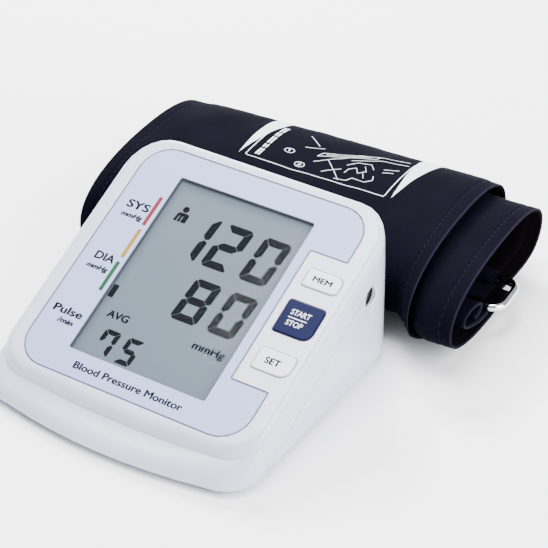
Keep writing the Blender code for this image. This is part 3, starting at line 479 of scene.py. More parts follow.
@dataclass(frozen=True)
class Ink(Finish):
    """Printed ink: flat colour with a slightly uneven surface."""

    sheen: float = 0.15

    def shade(self, graph: Graph) -> None:
        """Fine noise in tone and gloss.

        Args:
            graph: the material being put together.
        """
        spot = graph.noise(2500.0, 2.0)
        graph.set(
            Base_Color=graph.blend(spot, tint(self.colour, 0.9), tint(self.colour, 1.08)),
            Roughness=self.roughness + (spot - 0.5) * 0.15,
            Specular_IOR_Level=self.sheen,
        )


@dataclass(frozen=True)
class Paper(Finish):
    """The studio floor: plain, with hardly any texture."""

    def shade(self, graph: Graph) -> None:
        """A trace of variation in the gloss only."""
        graph.set(Base_Color=self.colour, Roughness=self.roughness + graph.noise(40.0, 1.0) * 0.05)


CASE_WHITE = Moulding("case_white", (0.55, 0.55, 0.70), 0.30, coat=0.25)
KEY_WHITE = Moulding("key_white", (0.70, 0.70, 0.82), 0.34)
KEY_BLUE = Moulding("key_blue", (0.0017, 0.0034, 0.033), 0.5, gloss=0.08)
PANEL_BLUE = PrintedFilm("panel_blue", (0.30, 0.36, 0.61), 0.42)
PANEL_LINE = Ink("panel_line", (0.06, 0.07, 0.11), 0.5)
WINDOW_LINER = Moulding("window_liner", (0.045, 0.052, 0.072), 0.6)
CLEAR_WINDOW = ClearWindow("clear_window_sheet", (0.10, 0.12, 0.14), 0.05)
CELL_GREY = DisplayCell("display_cell", (0.088, 0.116, 0.147), 0.5)
SEGMENT_BLACK = Ink("segment_black", (0.002, 0.002, 0.003), 0.6, sheen=0.0)
LABEL_GREY = Ink("label_grey", (0.003, 0.003, 0.005), 0.5)
LABEL_WHITE = Ink("label_white", (0.78, 0.80, 0.88), 0.5)
# painted shade: a dark brown-grey ink for the rings in the keys' gaps, standing in for the shadow that falls in those
# gaps
GAP_SHADE = Ink("gap_shade_paint", (0.10, 0.085, 0.085), 0.7)
BAR_RED = Ink("bar_red", (0.17, 0.006, 0.018), 0.5)
BAR_YELLOW = Ink("bar_yellow", (0.27, 0.155, 0.012), 0.5)
BAR_GREEN = Ink("bar_green", (0.004, 0.060, 0.022), 0.5)
CARRIER_GREY = Moulding("carrier_grey", (0.20, 0.22, 0.26), 0.5)
DARK_PLASTIC = Moulding("dark_plastic", (0.018, 0.018, 0.020), 0.42)
FOOT_RUBBER = Moulding("foot_rubber", (0.10, 0.10, 0.11), 0.8, grain=900.0, depth=0.00004)
BOARD_GREEN = Laminate("board_green", (0.015, 0.15, 0.06), 0.4)
PLATED_STEEL = Metal("plated_steel_part", (0.62, 0.63, 0.65), 0.28, 1.0)
TURNED_BRASS = Metal("turned_brass", (0.72, 0.52, 0.22), 0.3, 1.0)
RING_CHROME = Metal("ring_chrome", (0.84, 0.85, 0.88), 0.10, 1.0, stretch=(200.0, 200.0, 200.0))
BATTERY_WRAP = CellJacket("battery_wrap", (0.03, 0.035, 0.05), 0.3)
SILICONE_TUBE = Moulding("silicone_tube", (0.72, 0.73, 0.70), 0.45)
CUFF_NAVY = WovenCloth("cuff_navy", (0.0022, 0.0017, 0.0048), 0.8, half_width=0.0712)
CUFF_LINING = WovenCloth("cuff_lining", (0.0016, 0.0011, 0.0016), 0.7, half_width=0.0712, edge=(0.012, 0.010, 0.018))
LOOP_NAVY = WovenCloth("loop_navy", (0.0025, 0.0019, 0.0056), 0.8)
FOLD_NAVY = WovenCloth("fold_navy", (0.0026, 0.0020, 0.0060), 0.8, half_width=0.0905)
THREAD_BLUE = Ink("thread_blue", (0.010, 0.009, 0.022), 0.8, sheen=0.05)
CUFF_PRINT = Ink("cuff_print", (0.70, 0.71, 0.76), 0.7)
HOOK_BLACK = TapeFinish("hook_black", (0.02, 0.02, 0.026), 0.7)
PILE_NAVY = TapeFinish("pile_navy", (0.03, 0.028, 0.06), 0.9)
FLOOR_WHITE = Paper("floor_white", (0.97, 0.97, 0.985), 0.75)


# ------------------------------------------------------------------ meshes from arrays
def ring_quads(rows: int, columns: int, wrap_rows: bool = False, wrap_columns: bool = True) -> Array:
    """Quads of a grid of rows x columns points, numbered row by row.

    Args:
        rows: number of rows of points.
        columns: number of points in a row.
        wrap_rows: join the last row to the first.
        wrap_columns: join the last column to the first.

    Returns:
        An (n, 4) array of point numbers.
    """
    across = np.arange(columns if wrap_columns else columns - 1)
    down = np.arange(rows if wrap_rows else rows - 1)
    a, b = np.meshgrid(down, across, indexing="ij")
    after_a = (a + 1) % rows
    after_b = (b + 1) % columns
    quads = np.stack(
        [a * columns + b, a * columns + after_b, after_a * columns + after_b, after_a * columns + b], -1
    )
    return quads.reshape(-1, 4)


def mesh_piece(
    name: str,
    points: Array,
    quads: Array,
    finishes: Sequence[Finish],
    caps: Sequence[Array] = (),
    flat: Optional[Array] = None,
    slots: Optional[Array] = None,
    sharp: float = 40.0,
) -> bpy.types.Object:
    """Puts arrays of points and faces into a new object at the origin.

    Args:
        name: the piece's name.
        points: (n, 3) places in the row's frame, in metres.
        quads: (m, 4) point numbers.
        finishes: one finish for each material slot.
        caps: faces of more corners, as arrays of point numbers.
        flat: (n, 2) distance along and across the cloth, kept as the UV map "cloth".
        slots: (m,) material slot of each quad.
        sharp: edges at more than this many degrees are creased.

    Returns:
        The linked object.
    """
    mesh = bpy.data.meshes.new(name)
    corners = np.concatenate([quads.reshape(-1), *[np.asarray(cap) for cap in caps]]).astype(np.int32)
    totals = np.concatenate([np.full(len(quads), 4), [len(cap) for cap in caps]]).astype(np.int32)
    starts = np.concatenate([[0], np.cumsum(totals)[:-1]]).astype(np.int32)
    mesh.vertices.add(len(points))
    mesh.vertices.foreach_set("co", np.ascontiguousarray(points, np.float32).reshape(-1))
    mesh.loops.add(len(corners))
    mesh.loops.foreach_set("vertex_index", corners)
    mesh.polygons.add(len(totals))
    mesh.polygons.foreach_set("loop_start", starts)
    if slots is not None:
        every = np.concatenate([slots, np.zeros(len(caps))]).astype(np.int32)
        mesh.polygons.foreach_set("material_index", every)
    if flat is not None:
        layer = mesh.uv_layers.new(name="cloth")
        layer.data.foreach_set("uv", flat[corners].astype(np.float32).reshape(-1))
    mesh.update(calc_edges=True)
    mesh.validate()
    for finish in finishes:
        mesh.materials.append(finish.material())
    outward(mesh)
    mesh.shade_smooth()
    mesh.set_sharp_from_angle(angle=math.radians(sharp))
    piece = bpy.data.objects.new(name, mesh)
    bpy.context.scene.collection.objects.link(piece)
    return piece


def outward(mesh: bpy.types.Mesh) -> None:
    """Turns every face of a mesh outwards.

    Args:
        mesh: the closed mesh, changed in place.
    """
    shape = bmesh.new()
    shape.from_mesh(mesh)
    bmesh.ops.recalc_face_normals(shape, faces=shape.faces)
    shape.to_mesh(mesh)
    shape.free()


def end_caps(rows: int, columns: int) -> list[Array]:
    """The first and the last ring of a tube, as faces."""
    return [np.arange(columns), np.arange(columns) + (rows - 1) * columns]


def there_and_back(x: Array) -> Array:
    """The values in order and then in reverse, as round the outline of a thin strip."""
    return np.concatenate([x, x[::-1]])


def tube_piece(name: str, rings: Array, finish: Finish, closed: bool = False) -> bpy.types.Object:
    """A tube through rings of points.

    Args:
        name: the piece's name.
        rings: (rings, points in a ring, 3) places.
        finish: its finish.
        closed: joins the last ring to the first; otherwise the ends are flat faces.

    Returns:
        The linked object.
    """
    rows, columns, _ = rings.shape
    caps = [] if closed else end_caps(rows, columns)
    return mesh_piece(name, rings.reshape(-1, 3), ring_quads(rows, columns, closed), [finish], caps)


def cloth_tube(name: str, rings: Array, along: Array, across: Array, finish: Finish) -> bpy.types.Object:
    """A tube of cloth with flat ends and its UV map.

    Args:
        name: the piece's name.
        rings: (rings, points in a ring, 3) places.
        along: distance along the cloth at each ring, in metres.
        across: distance across it at each point of a ring.
        finish: its finish.

    Returns:
        The linked object.
    """
    rows, columns, _ = rings.shape
    flat = np.stack(np.broadcast_arrays(along[:, None], across[None, :]), -1).reshape(-1, 2)
    return mesh_piece(
        name, rings.reshape(-1, 3), ring_quads(rows, columns), [finish], end_caps(rows, columns), flat,
        sharp=CLOTH_CREASE,
    )


def many_tubes(name: str, rings: Array, finish: Finish) -> bpy.types.Object:
    """Many alike tubes with flat ends in one piece.

    Args:
        name: the piece's name.
        rings: (tubes, rings, points in a ring, 3) places.
        finish: their finish.

    Returns:
        The linked object.
    """
    count, rows, columns, _ = rings.shape
    each = ring_quads(rows, columns)
    base = np.arange(count)[:, None, None] * rows * columns
    quads = (each[None] + base).reshape(-1, 4)
    first = np.arange(columns)[None] + base[:, 0]
    last = first + (rows - 1) * columns
    return mesh_piece(name, rings.reshape(-1, 3), quads, [finish], [*first, *last])


def ridden(piece: bpy.types.Object, body: str, replaces: Sequence[str] = ()) -> bpy.types.Object:
    """Sets what a piece moves with and what it stands for, and reports it.

    Args:
        piece: the piece.
        body: the body that carries it.
        replaces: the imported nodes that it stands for.

    Returns:
        The same piece.
    """
    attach(piece, body)
    if replaces:
        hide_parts(*replaces)
    LOG.info("%s on %s", piece.name, body)
    return piece


def smoothed(node: str, name: str, finish: Finish, edge: float, crease: float = 40.0) -> bpy.types.Object:
    """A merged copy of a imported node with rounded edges, which stands for it.

    Args:
        node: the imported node.
        name: the new piece's name.
        finish: its finish.
        edge: radius of its rounded edges, in metres; 0 leaves them sharp.
        crease: edges at more than this many degrees are edges, and the rest is smooth.

    Returns:
        The new piece, riding on the node's body.
    """
    source = frame["nodes"][node]
    mesh = source.data.copy()
    mesh.name = name
    shape = bmesh.new()
    shape.from_mesh(mesh)
    bmesh.ops.remove_doubles(shape, verts=shape.verts, dist=1e-6)
    bmesh.ops.dissolve_limit(
        shape, angle_limit=math.radians(0.6), verts=shape.verts, edges=shape.edges, delimit=set()
    )
    shape.to_mesh(mesh)
    shape.free()
    mesh.materials.clear()
    mesh.materials.append(finish.material())
    mesh.shade_smooth()
    mesh.set_sharp_from_angle(angle=math.radians(crease))
    piece = bpy.data.objects.new(name, mesh)
    bpy.context.scene.collection.objects.link(piece)
    if edge:
        rounding = piece.modifiers.new("edges", "BEVEL")
        rounding.width = edge
        rounding.segments = 2
        rounding.limit_method = "ANGLE"
        rounding.angle_limit = math.radians(crease)
        rounding.miter_outer = "MITER_ARC"
        rounding.harden_normals = True
    weigh = piece.modifiers.new("shading", "WEIGHTED_NORMAL")
    weigh.keep_sharp = True
    return ridden(piece, source["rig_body"], [node])


# ------------------------------------------------------------------ the case's face
@dataclass(frozen=True)
class CaseFrame:
    """Turns places on the sloping face into places in the row's frame."""

    origin: Vector

    @classmethod
    def from_model(cls) -> "CaseFrame":
        """Finds the case's own frame from the front cover's box.

        Returns:
            The frame.
        """
        low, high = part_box("front_cover")
        return cls(Vector(((low.x + high.x) / 2, low.y + CASE_FRONT, 0.0)))

    def face(self, u: Array, v: Array, w: Array) -> Array:
        """Turns face distances into places.

        Args:
            u: metres right of the display's middle.
            v: metres up the slope from its foot.
            w: metres out of the face.

        Returns:
            Their places, along the last axis.
        """
        u, v, w = np.broadcast_arrays(u, v, w)
        cosine = math.cos(FACE_TILT)
        sine = math.sin(FACE_TILT)
        return np.stack([
            self.origin.x + DISPLAY_OFFSET + u,
            self.origin.y + v * cosine - w * sine,
            FACE_HEIGHT + v * sine + w * cosine,
        ], -1)


def arc_corners(corners: Sequence[tuple[float, float]], radii: Sequence[float], steps: int = 10) -> Array:
    """A closed outline through corners, each rounded by an arc of its own radius.

    Each arc's centre lies on the corner's bisector, radius / sin(half angle) away, and the arc runs between the two
    points where it touches the sides.

    Args:
        corners: the corners, anticlockwise, in metres.
        radii: one radius for each.
        steps: steps in each arc.

    Returns:
        (n, 2) places.
    """
    pieces = []
    places = [Vector(corner) for corner in corners]
    for index, radius in enumerate(radii):
        here = places[index]
        before = (places[index - 1] - here).normalized()
        after = (places[(index + 1) % len(places)] - here).normalized()
        half = before.angle(after) / 2
        centre = here + (before + after).normalized() * (radius / math.sin(half))
        start = here + before * (radius / math.tan(half)) - centre
        end = here + after * (radius / math.tan(half)) - centre
        first = math.atan2(start.y, start.x)
        sweep = math.remainder(math.atan2(end.y, end.x) - first, math.tau)
        angles = first + sweep * np.linspace(0.0, 1.0, steps + 1)
        pieces.append(np.stack([centre.x + radius * np.cos(angles), centre.y + radius * np.sin(angles)], -1))
    return np.concatenate(pieces)


def inset_outline(outline: Array, distance: float) -> Array:
    """The outline moved inwards: each point goes along the mean of its two sides' inner normals.

    Args:
        outline: (n, 2) places, anticlockwise.
        distance: how far; less than 0 moves it outwards.

    Returns:
        (n, 2) places.
    """
    after = np.roll(outline, -1, 0) - outline
    after /= np.linalg.norm(after, axis=1, keepdims=True) + 1e-12
    before = np.roll(after, 1, 0)
    inward = np.stack([-(after[:, 1] + before[:, 1]), after[:, 0] + before[:, 0]], -1)
    length = np.linalg.norm(inward, axis=1, keepdims=True)
    scale = 2.0 / np.maximum(length, 0.6) ** 2
    return outline + inward * scale * distance


def plate_outline(corners: Sequence[tuple[float, float]], radii: Sequence[float], steps: int = 10) -> Array:
    """A closed rounded outline in metres from corners and radii in mm."""
    return arc_corners([(a * MM, b * MM) for a, b in corners], [radius * MM for radius in radii], steps)


def box_corners(left: float, foot: float, right: float, head: float) -> list[tuple[float, float]]:
    """A rectangle's four corners, anticlockwise."""
    return [(left, foot), (right, foot), (right, head), (left, head)]


class FontStyle(Enum):
    """How a label is drawn: the shifts, in letter heights, at which its outline is repeated to thicken it."""

    PLAIN = ((0.0, 0.0),)
    BOLD = ((-0.035, 0.0), (0.035, 0.0), (0.0, 0.028), (0.0, -0.028))
    HEAVY = ((-0.055, 0.0), (0.055, 0.0), (0.0, 0.045), (0.0, -0.045), (0.0, 0.0))


@dataclass(frozen=True)
class Label:
    """Words printed on the face or a key, placed by their left and right ends and their base line, in mm."""

    name: str
    words: str
    left: float
    right: float
    base: float
    cap: float
    finish: Finish
    body: str = "case"
    slot: str = "pale_blue_panel"
    level: float = 0.0
    style: FontStyle = FontStyle.PLAIN
    lean: float = 0.0
    thick: float = 0.03

    def build(self, place: CaseFrame) -> bpy.types.Object:
        """Makes the words a mesh, fits them between their ends and lays them on the face.

        Args:
            place: the case's frame.

        Returns:
            The finished piece.
        """
        points, mesh = letter_mesh(self.words, self.style)
        low = points.min(0)
        high = points.max(0)
        u = (self.left + (points[:, 0] - low[0]) / (high[0] - low[0]) * (self.right - self.left)) * MM
        v = (self.base + points[:, 1] / cap_height(self.style) * self.cap) * MM
        u = u + (v - self.base * MM) * self.lean
        w = (self.level + (points[:, 2] - low[2]) / (high[2] - low[2] + 1e-12) * self.thick) * MM
        mesh.vertices.foreach_set("co", place.face(u, v, w).astype(np.float32).reshape(-1))
        mesh.name = self.name
        mesh.materials.append(self.finish.material())
        mesh.update()
        piece = bpy.data.objects.new(self.name, mesh)
        bpy.context.scene.collection.objects.link(piece)
        outward(mesh)
        return ridden(piece, self.body)


def letter_mesh(words: str, style: FontStyle) -> tuple[Array, bpy.types.Mesh]:
    """Words as a thin solid mesh, before they are placed.

    Args:
        words: the words.
        style: how heavy they are.

    Returns:
        The mesh's points and the mesh.
    """
    curve = bpy.data.curves.new("letters", "FONT")
    curve.body = words
    curve.extrude = 0.01
    curve.resolution_u = 4
    holder = bpy.data.objects.new("letters", curve)
    bpy.context.scene.collection.objects.link(holder)
    bpy.context.view_layer.update()
    graph = bpy.context.evaluated_depsgraph_get()
    mesh = bpy.data.meshes.new_from_object(holder.evaluated_get(graph))
    bpy.data.objects.remove(holder)
    bpy.data.curves.remove(curve)
    shape = bmesh.new()
    shape.from_mesh(mesh)
    bmesh.ops.remove_doubles(shape, verts=shape.verts, dist=1e-5)
    plain = list(shape.verts) + list(shape.edges) + list(shape.faces)
    for right, up in style.value[1:]:
        copied = bmesh.ops.duplicate(shape, geom=plain)["geom"]
        moved = [item for item in copied if isinstance(item, bmesh.types.BMVert)]
        bmesh.ops.translate(shape, verts=moved, vec=(right - style.value[0][0], up - style.value[0][1], 0.0))
    shape.to_mesh(mesh)
    shape.free()
    points = np.zeros(len(mesh.vertices) * 3, np.float32)
    mesh.vertices.foreach_get("co", points)
    mesh.materials.clear()
    return points.reshape(-1, 3).astype(float), mesh


def cap_height(style: FontStyle) -> float:
    """Height of a capital letter of the built-in font.

    Args:
        style: how heavy it is.

    Returns:
        The height in the font's own units.
    """
    if style not in CAP_HEIGHTS:
        points, mesh = letter_mesh("H", style)
        bpy.data.meshes.remove(mesh)
        CAP_HEIGHTS[style] = float(points[:, 1].max())
    return CAP_HEIGHTS[style]


CAP_HEIGHTS: dict[FontStyle, float] = {}


def slab(name: str, outline: Array, low: float, high: float, place: CaseFrame, finish: Finish) -> bpy.types.Object:
    """A flat plate on the face with a chamfered upper edge.

    Args:
        name: the piece's name.
        outline: its outline, in metres.
        low: level of its underside, out of the face.
        high: level of its top.
        place: the case's frame.
        finish: its finish.

    Returns:
        The linked object.
    """
    chamfer = min(CHAMFER, (high - low) * 0.4)
    top = inset_outline(outline, chamfer)
    rings = np.stack([
        place.face(outline[:, 0], outline[:, 1], np.float64(low)),
        place.face(outline[:, 0], outline[:, 1], np.float64(high - chamfer)),
        place.face(top[:, 0], top[:, 1], np.float64(high)),
    ])
    return tube_piece(name, rings, finish)


def outline_line(
    name: str, outline: Array, width: float, low: float, high: float, place: CaseFrame, finish: Finish
) -> bpy.types.Object:
    """A closed line or wall just inside an outline on the face.

    Args:
        name: the piece's name.
        outline: its outer outline, in metres.
        width: how wide it is.
        low: level of its underside, out of the face.
        high: level of its top.
        place: the case's frame.
        finish: its finish.

    Returns:
        The linked object.
    """
    inner = inset_outline(outline, width)
    corners = [(outline, low), (outline, high), (inner, high), (inner, low)]
    rings = np.stack([place.face(path[:, 0], path[:, 1], np.float64(level)) for path, level in corners], 1)
    return tube_piece(name, rings, finish, closed=True)


# ------------------------------------------------------------------ case
@dataclass
class Case:
    """The two covers, the battery door, the feet and the screws."""

    edge: float = 0.22 * MM
    door_edge: float = 0.25 * MM
    jack_edge: float = 0.12 * MM
    foot_edge: float = 0.2 * MM
    screw_edge: float = 0.1 * MM

    def build(self) -> None:
        """Rounds and dresses the outer shell's nodes."""
        smoothed("front_cover", "cover_front", CASE_WHITE, self.edge)
        smoothed("rear_cover", "cover_rear", CASE_WHITE, self.edge)
        smoothed("battery_door", "door_cover", CASE_WHITE, self.door_edge)
        smoothed("air_jack", "jack_socket", DARK_PLASTIC, self.jack_edge)
        for index in range(1, 5):
            smoothed(f"foot_{index}", f"foot_pad_{index}", FOOT_RUBBER, self.foot_edge)
            smoothed(f"case_screw_{index}", f"screw_{index}", PLATED_STEEL, self.screw_edge)


@dataclass
class Innards:
    """What the case holds: each node keeps its shape and gets its own finish."""

    dress: dict[str, Finish] = field(default_factory=lambda: {
        "lcd_glass": CELL_GREY, "lcd_tray": CARRIER_GREY, "contact_strip": FOOT_RUBBER, "main_board": BOARD_GREEN,
        "switch_mem": DARK_PLASTIC, "switch_start": DARK_PLASTIC, "switch_set": DARK_PLASTIC,
        "pump_motor": PLATED_STEEL, "pump_head": DARK_PLASTIC, "pump_crank": TURNED_BRASS,
        "valve_body": PLATED_STEEL, "valve_plunger": TURNED_BRASS, "manifold": DARK_PLASTIC,
        "pressure_sensor": DARK_PLASTIC, "tube_pump": SILICONE_TUBE, "tube_jack": SILICONE_TUBE,
        "tube_valve": SILICONE_TUBE, "tube_sensor": SILICONE_TUBE,
        "pile_patch": PILE_NAVY, "hose_port": DARK_PLASTIC,
        "contact_plate_1": PLATED_STEEL, "contact_plate_2": PLATED_STEEL,
        "contact_spring_1": PLATED_STEEL, "contact_spring_2": PLATED_STEEL,
        "battery_1": BATTERY_WRAP, "battery_2": BATTERY_WRAP, "battery_3": BATTERY_WRAP, "battery_4": BATTERY_WRAP,
    })

    def build(self) -> None:
        """Gives each kept node its finish."""
        for node, finish in self.dress.items():
            piece = frame["nodes"][node]
            piece.data.materials.clear()
            piece.data.materials.append(finish.material())
            LOG.info("%s dressed in %s", node, finish.name)


# ------------------------------------------------------------------ face: film, window, display and keys
@dataclass
class FacePanel:
    """The printed film with its line, labels and coloured bars."""

    place: CaseFrame
    left: float = -48.7
    right: float = 49.9
    foot: float = -10.9
    head: float = 92.5
    corner: float = 12.0
    notch: tuple[float, float, float] = (34.2, 12.0, 70.6)
    notch_corner: float = 0.7
    line_width: float = 0.30
    line_inset: float = 0.04

    def outline(self) -> Array:
        """The printed line's outer outline, a little inside the film's edge and with its notch for the keys.

        Returns:
            (n, 2) places in metres.
        """
        notch_left, notch_foot, notch_head = self.notch
        corners = (
            (self.left, self.foot), (self.right, self.foot), (self.right, notch_foot), (notch_left, notch_foot),
            (notch_left, notch_head), (self.right, notch_head), (self.right, self.head), (self.left, self.head),
        )
        radii = (self.corner,) * 2 + (self.notch_corner,) * 4 + (self.corner,) * 2
        return inset_outline(plate_outline(corners, radii), self.line_inset * MM)

    def build(self) -> None:
        """Film, line, labels and bars."""
        smoothed("face_panel", "film_panel", PANEL_BLUE, 0.10 * MM)
        line = outline_line(
            "panel_line", self.outline(), self.line_width * MM, PRINT_SINK, -PRINT_SINK, self.place, PANEL_LINE
        )
        ridden(line, "case")
        for label in self.labels():
            label.build(self.place)
        bars = (("bar_red", 56.9, 70.6, BAR_RED), ("bar_yellow", 41.3, 54.9, BAR_YELLOW),
                ("bar_green", 25.5, 39.1, BAR_GREEN))
        for name, foot, head, finish in bars:
            path = plate_outline(box_corners(-33.2, foot, -31.6, head), (0.15,) * 4, 3)
            ridden(slab(name, path, PRINT_SINK, PRINT_RISE, self.place, finish), "case")

    @staticmethod
    def labels() -> list[Label]:
        """The function labels printed on the film."""
        return [
            Label("label_sys", "SYS", -44.0, -33.8, 62.3, 3.5, LABEL_GREY, style=FontStyle.BOLD),
            Label("label_sys_unit", "mmHg", -43.9, -34.4, 58.1, 2.1, LABEL_GREY, lean=0.25, style=FontStyle.HEAVY),
            Label("label_dia", "DIA", -43.0, -34.2, 37.35, 3.4, LABEL_GREY, style=FontStyle.BOLD),
            Label("label_dia_unit", "mmHg", -43.9, -34.4, 33.0, 2.1, LABEL_GREY, lean=0.25, style=FontStyle.HEAVY),
            Label("label_pulse", "Pulse", -45.3, -32.2, 11.6, 3.2, LABEL_GREY, style=FontStyle.BOLD),
            Label("label_pulse_unit", "/min", -40.9, -33.9, 7.8, 2.2, LABEL_GREY, lean=0.1, style=FontStyle.HEAVY),
            Label("label_kind", "Blood Pressure Monitor", -23.9, 24.0, -6.9, 2.9, LABEL_GREY, style=FontStyle.BOLD),
        ]


@dataclass
class Digit:
    """One seven-bar numeral of the display, in mm: left foot corner, size, bar thickness and slant."""

    numeral: str
    left: float
    foot: float
    wide: float
    tall: float
    bar: float
    lean: float = 0.075
    gap: float = 0.13

    LIT = {"0": "abcdef", "1": "bc", "2": "abged", "5": "afgcd", "7": "abcf", "8": "abcdefg"}

    def bars(self) -> list[Array]:
        """Six-cornered outlines of the bars that are lit, mitred where two meet and clipped at the corners.

        Returns:
            One (6, 2) array for each, in metres.
        """
        right = self.wide / 2
        top = self.tall / 2
        bar = self.bar
        gap = self.gap
        clip = bar * 0.45
        level = np.array([
            (clip - right, top), (right - clip, top), (right - clip / 2 - gap, top - clip / 2),
            (right - bar - gap, top - bar), (bar + gap - right, top - bar), (clip / 2 + gap - right, top - clip / 2),
        ])
        upright = np.array([
            (right, top - clip), (right, gap + 0.25 * bar), (right - bar / 2, gap),
            (right - bar, bar / 2 + gap), (right - bar, top - bar - gap), (right - clip / 2, top - clip / 2 - gap),
        ])
        side = right - bar / 2 - gap
        inner = right - bar - gap * 0.4
        middle = np.array([
            (-side, 0.0), (-inner, -bar / 2), (inner, -bar / 2), (side, 0.0), (inner, bar / 2), (-inner, bar / 2)
        ])
        shapes = {
            "a": level, "b": upright, "c": upright * (1, -1), "d": level * (1, -1),
            "e": upright * (-1, -1), "f": upright * (-1, 1), "g": middle,
        }
        made = []
        for letter in self.LIT[self.numeral]:
            path = shapes[letter] + (right, top)
            path[:, 0] += self.left + path[:, 1] * self.lean
            path[:, 1] += self.foot
            made.append(path * MM)
        return made


@dataclass
class Display:
    """What is seen through the window: dark walls, the clear sheet, numerals and signs, in mm.

    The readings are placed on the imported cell, glass below the face; aside moves them to where they are seen at the
    same angle on the cell's front, depth below it.
    """

    place: CaseFrame
    depth: float = 1.50
    glass: float = 2.75
    half: float = 30.0
    long: float = 81.7
    corner: float = 0.8
    sheet: tuple[float, float] = (-0.8, -0.10)
    ink: float = 0.02
    ink_thick: float = 0.04
    aside: tuple[float, float] = (0.68, -0.61)

    def window(self, inset: float) -> Array:
        """The window's outline in metres, moved inwards by some mm."""
        side = self.half - inset
        return plate_outline(box_corners(-side, inset, side, self.long - inset), (self.corner - inset / 2,) * 4, 5)

    def build(self) -> None:
        """Liner, window sheet, numerals, words and signs."""
        outer = self.window(0.03)
        inner = self.window(0.24)
        low = (0.04 - self.glass) * MM
        under, over = (level * MM for level in self.sheet)
        corners = [(outer, low), (outer, 0.0), (inner, 0.0), (inner, low)]
        rings = np.stack([self.place.face(p[:, 0], p[:, 1], np.float64(w)) for p, w in corners], 1)
        ridden(tube_piece("window_wall", rings, WINDOW_LINER, closed=True), "case")
        sheet = slab("window_sheet", self.window(0.32), under, over, self.place, CLEAR_WINDOW)
        ridden(sheet, "case", ["lcd_lens"])
        front = slab("cell_front", self.window(0.28), low, -self.depth * MM, self.place, CELL_GREY)
        ridden(front, "case")
        self.numerals()
        ink = dict(finish=SEGMENT_BLACK, slot="lcd_cell", level=self.ink - self.depth, style=FontStyle.BOLD)
        right, up = self.aside
        Label("sign_average", "AVG", -25.6 + right, -16.1 + right, 18.1 + up, 3.0, **ink).build(self.place)
        Label("sign_unit", "mmHg", 12.2 + right, 26.1 + right, 18.5 + up, 3.1, **ink).build(self.place)
        self.person()
        self.sign("sign_level", [plate_outline(box_corners(-30.0, 25.7, -27.7, 31.3), (0.1,) * 4, 2)])

    def sign(
        self, name: str, outlines: Sequence[Array], finish: Finish = SEGMENT_BLACK, lift: float = 0.0
    ) -> None:
        """Thin shapes on the cell, joined into one piece.

        Args:
            name: the piece's name.
            outlines: outlines of equal point count, in metres.
            finish: their finish.
            lift: how far they stand above the readings' level, in mm.
        """
        low = (self.ink + lift - self.depth) * MM
        level = np.array([low, low + self.ink_thick * MM])
        flat = np.stack(outlines) + np.array(self.aside) * MM
        rings = self.place.face(flat[:, None, :, 0], flat[:, None, :, 1], level[None, :, None])
        ridden(many_tubes(name, rings, finish), "case")

    def numerals(self) -> None:
        """The three readings."""
        upper = dict(foot=51.0, wide=11.9, tall=20.1, bar=3.2)
        lower = dict(foot=26.7, wide=11.6, tall=18.8, bar=3.1)
        small = dict(foot=2.2, wide=7.0, tall=11.4, bar=2.0)
        digits = [
            Digit("1", -18.7, 50.3, 11.9, 21.6, 3.2), Digit("2", -4.1, **upper), Digit("0", 12.6, **upper),
            Digit("8", -2.8, **lower), Digit("0", 13.2, **lower),
            Digit("7", -22.9, **small), Digit("5", -12.5, **small),
        ]
        self.sign("sign_readings", [bar for digit in digits for bar in digit.bars()])

    def person(self) -> None:
        """A plain little figure: a round head over rounded shoulders with two notches below."""
        turn = np.linspace(0.0, math.tau, 24, endpoint=False)
        head = np.stack([-21.7 + 1.35 * np.cos(turn), 70.5 + 1.35 * np.sin(turn)], -1) * MM
        corners = ((-24.5, 64.7), (-19.1, 64.7), (-18.8, 68.8), (-23.9, 68.8))
        self.sign("sign_person", [head, plate_outline(corners, (0.3, 0.3, 1.2, 1.2), 5)])
        corners = ((-23.1, 64.6), (-22.75, 64.6), (-22.5, 67.3), (-22.85, 67.3))
        mark = plate_outline(corners, (0.1,) * 4, 2)
        self.sign("sign_person_mark", [mark, mark + (1.5 * MM, 0.0)], CELL_GREY, 0.03)


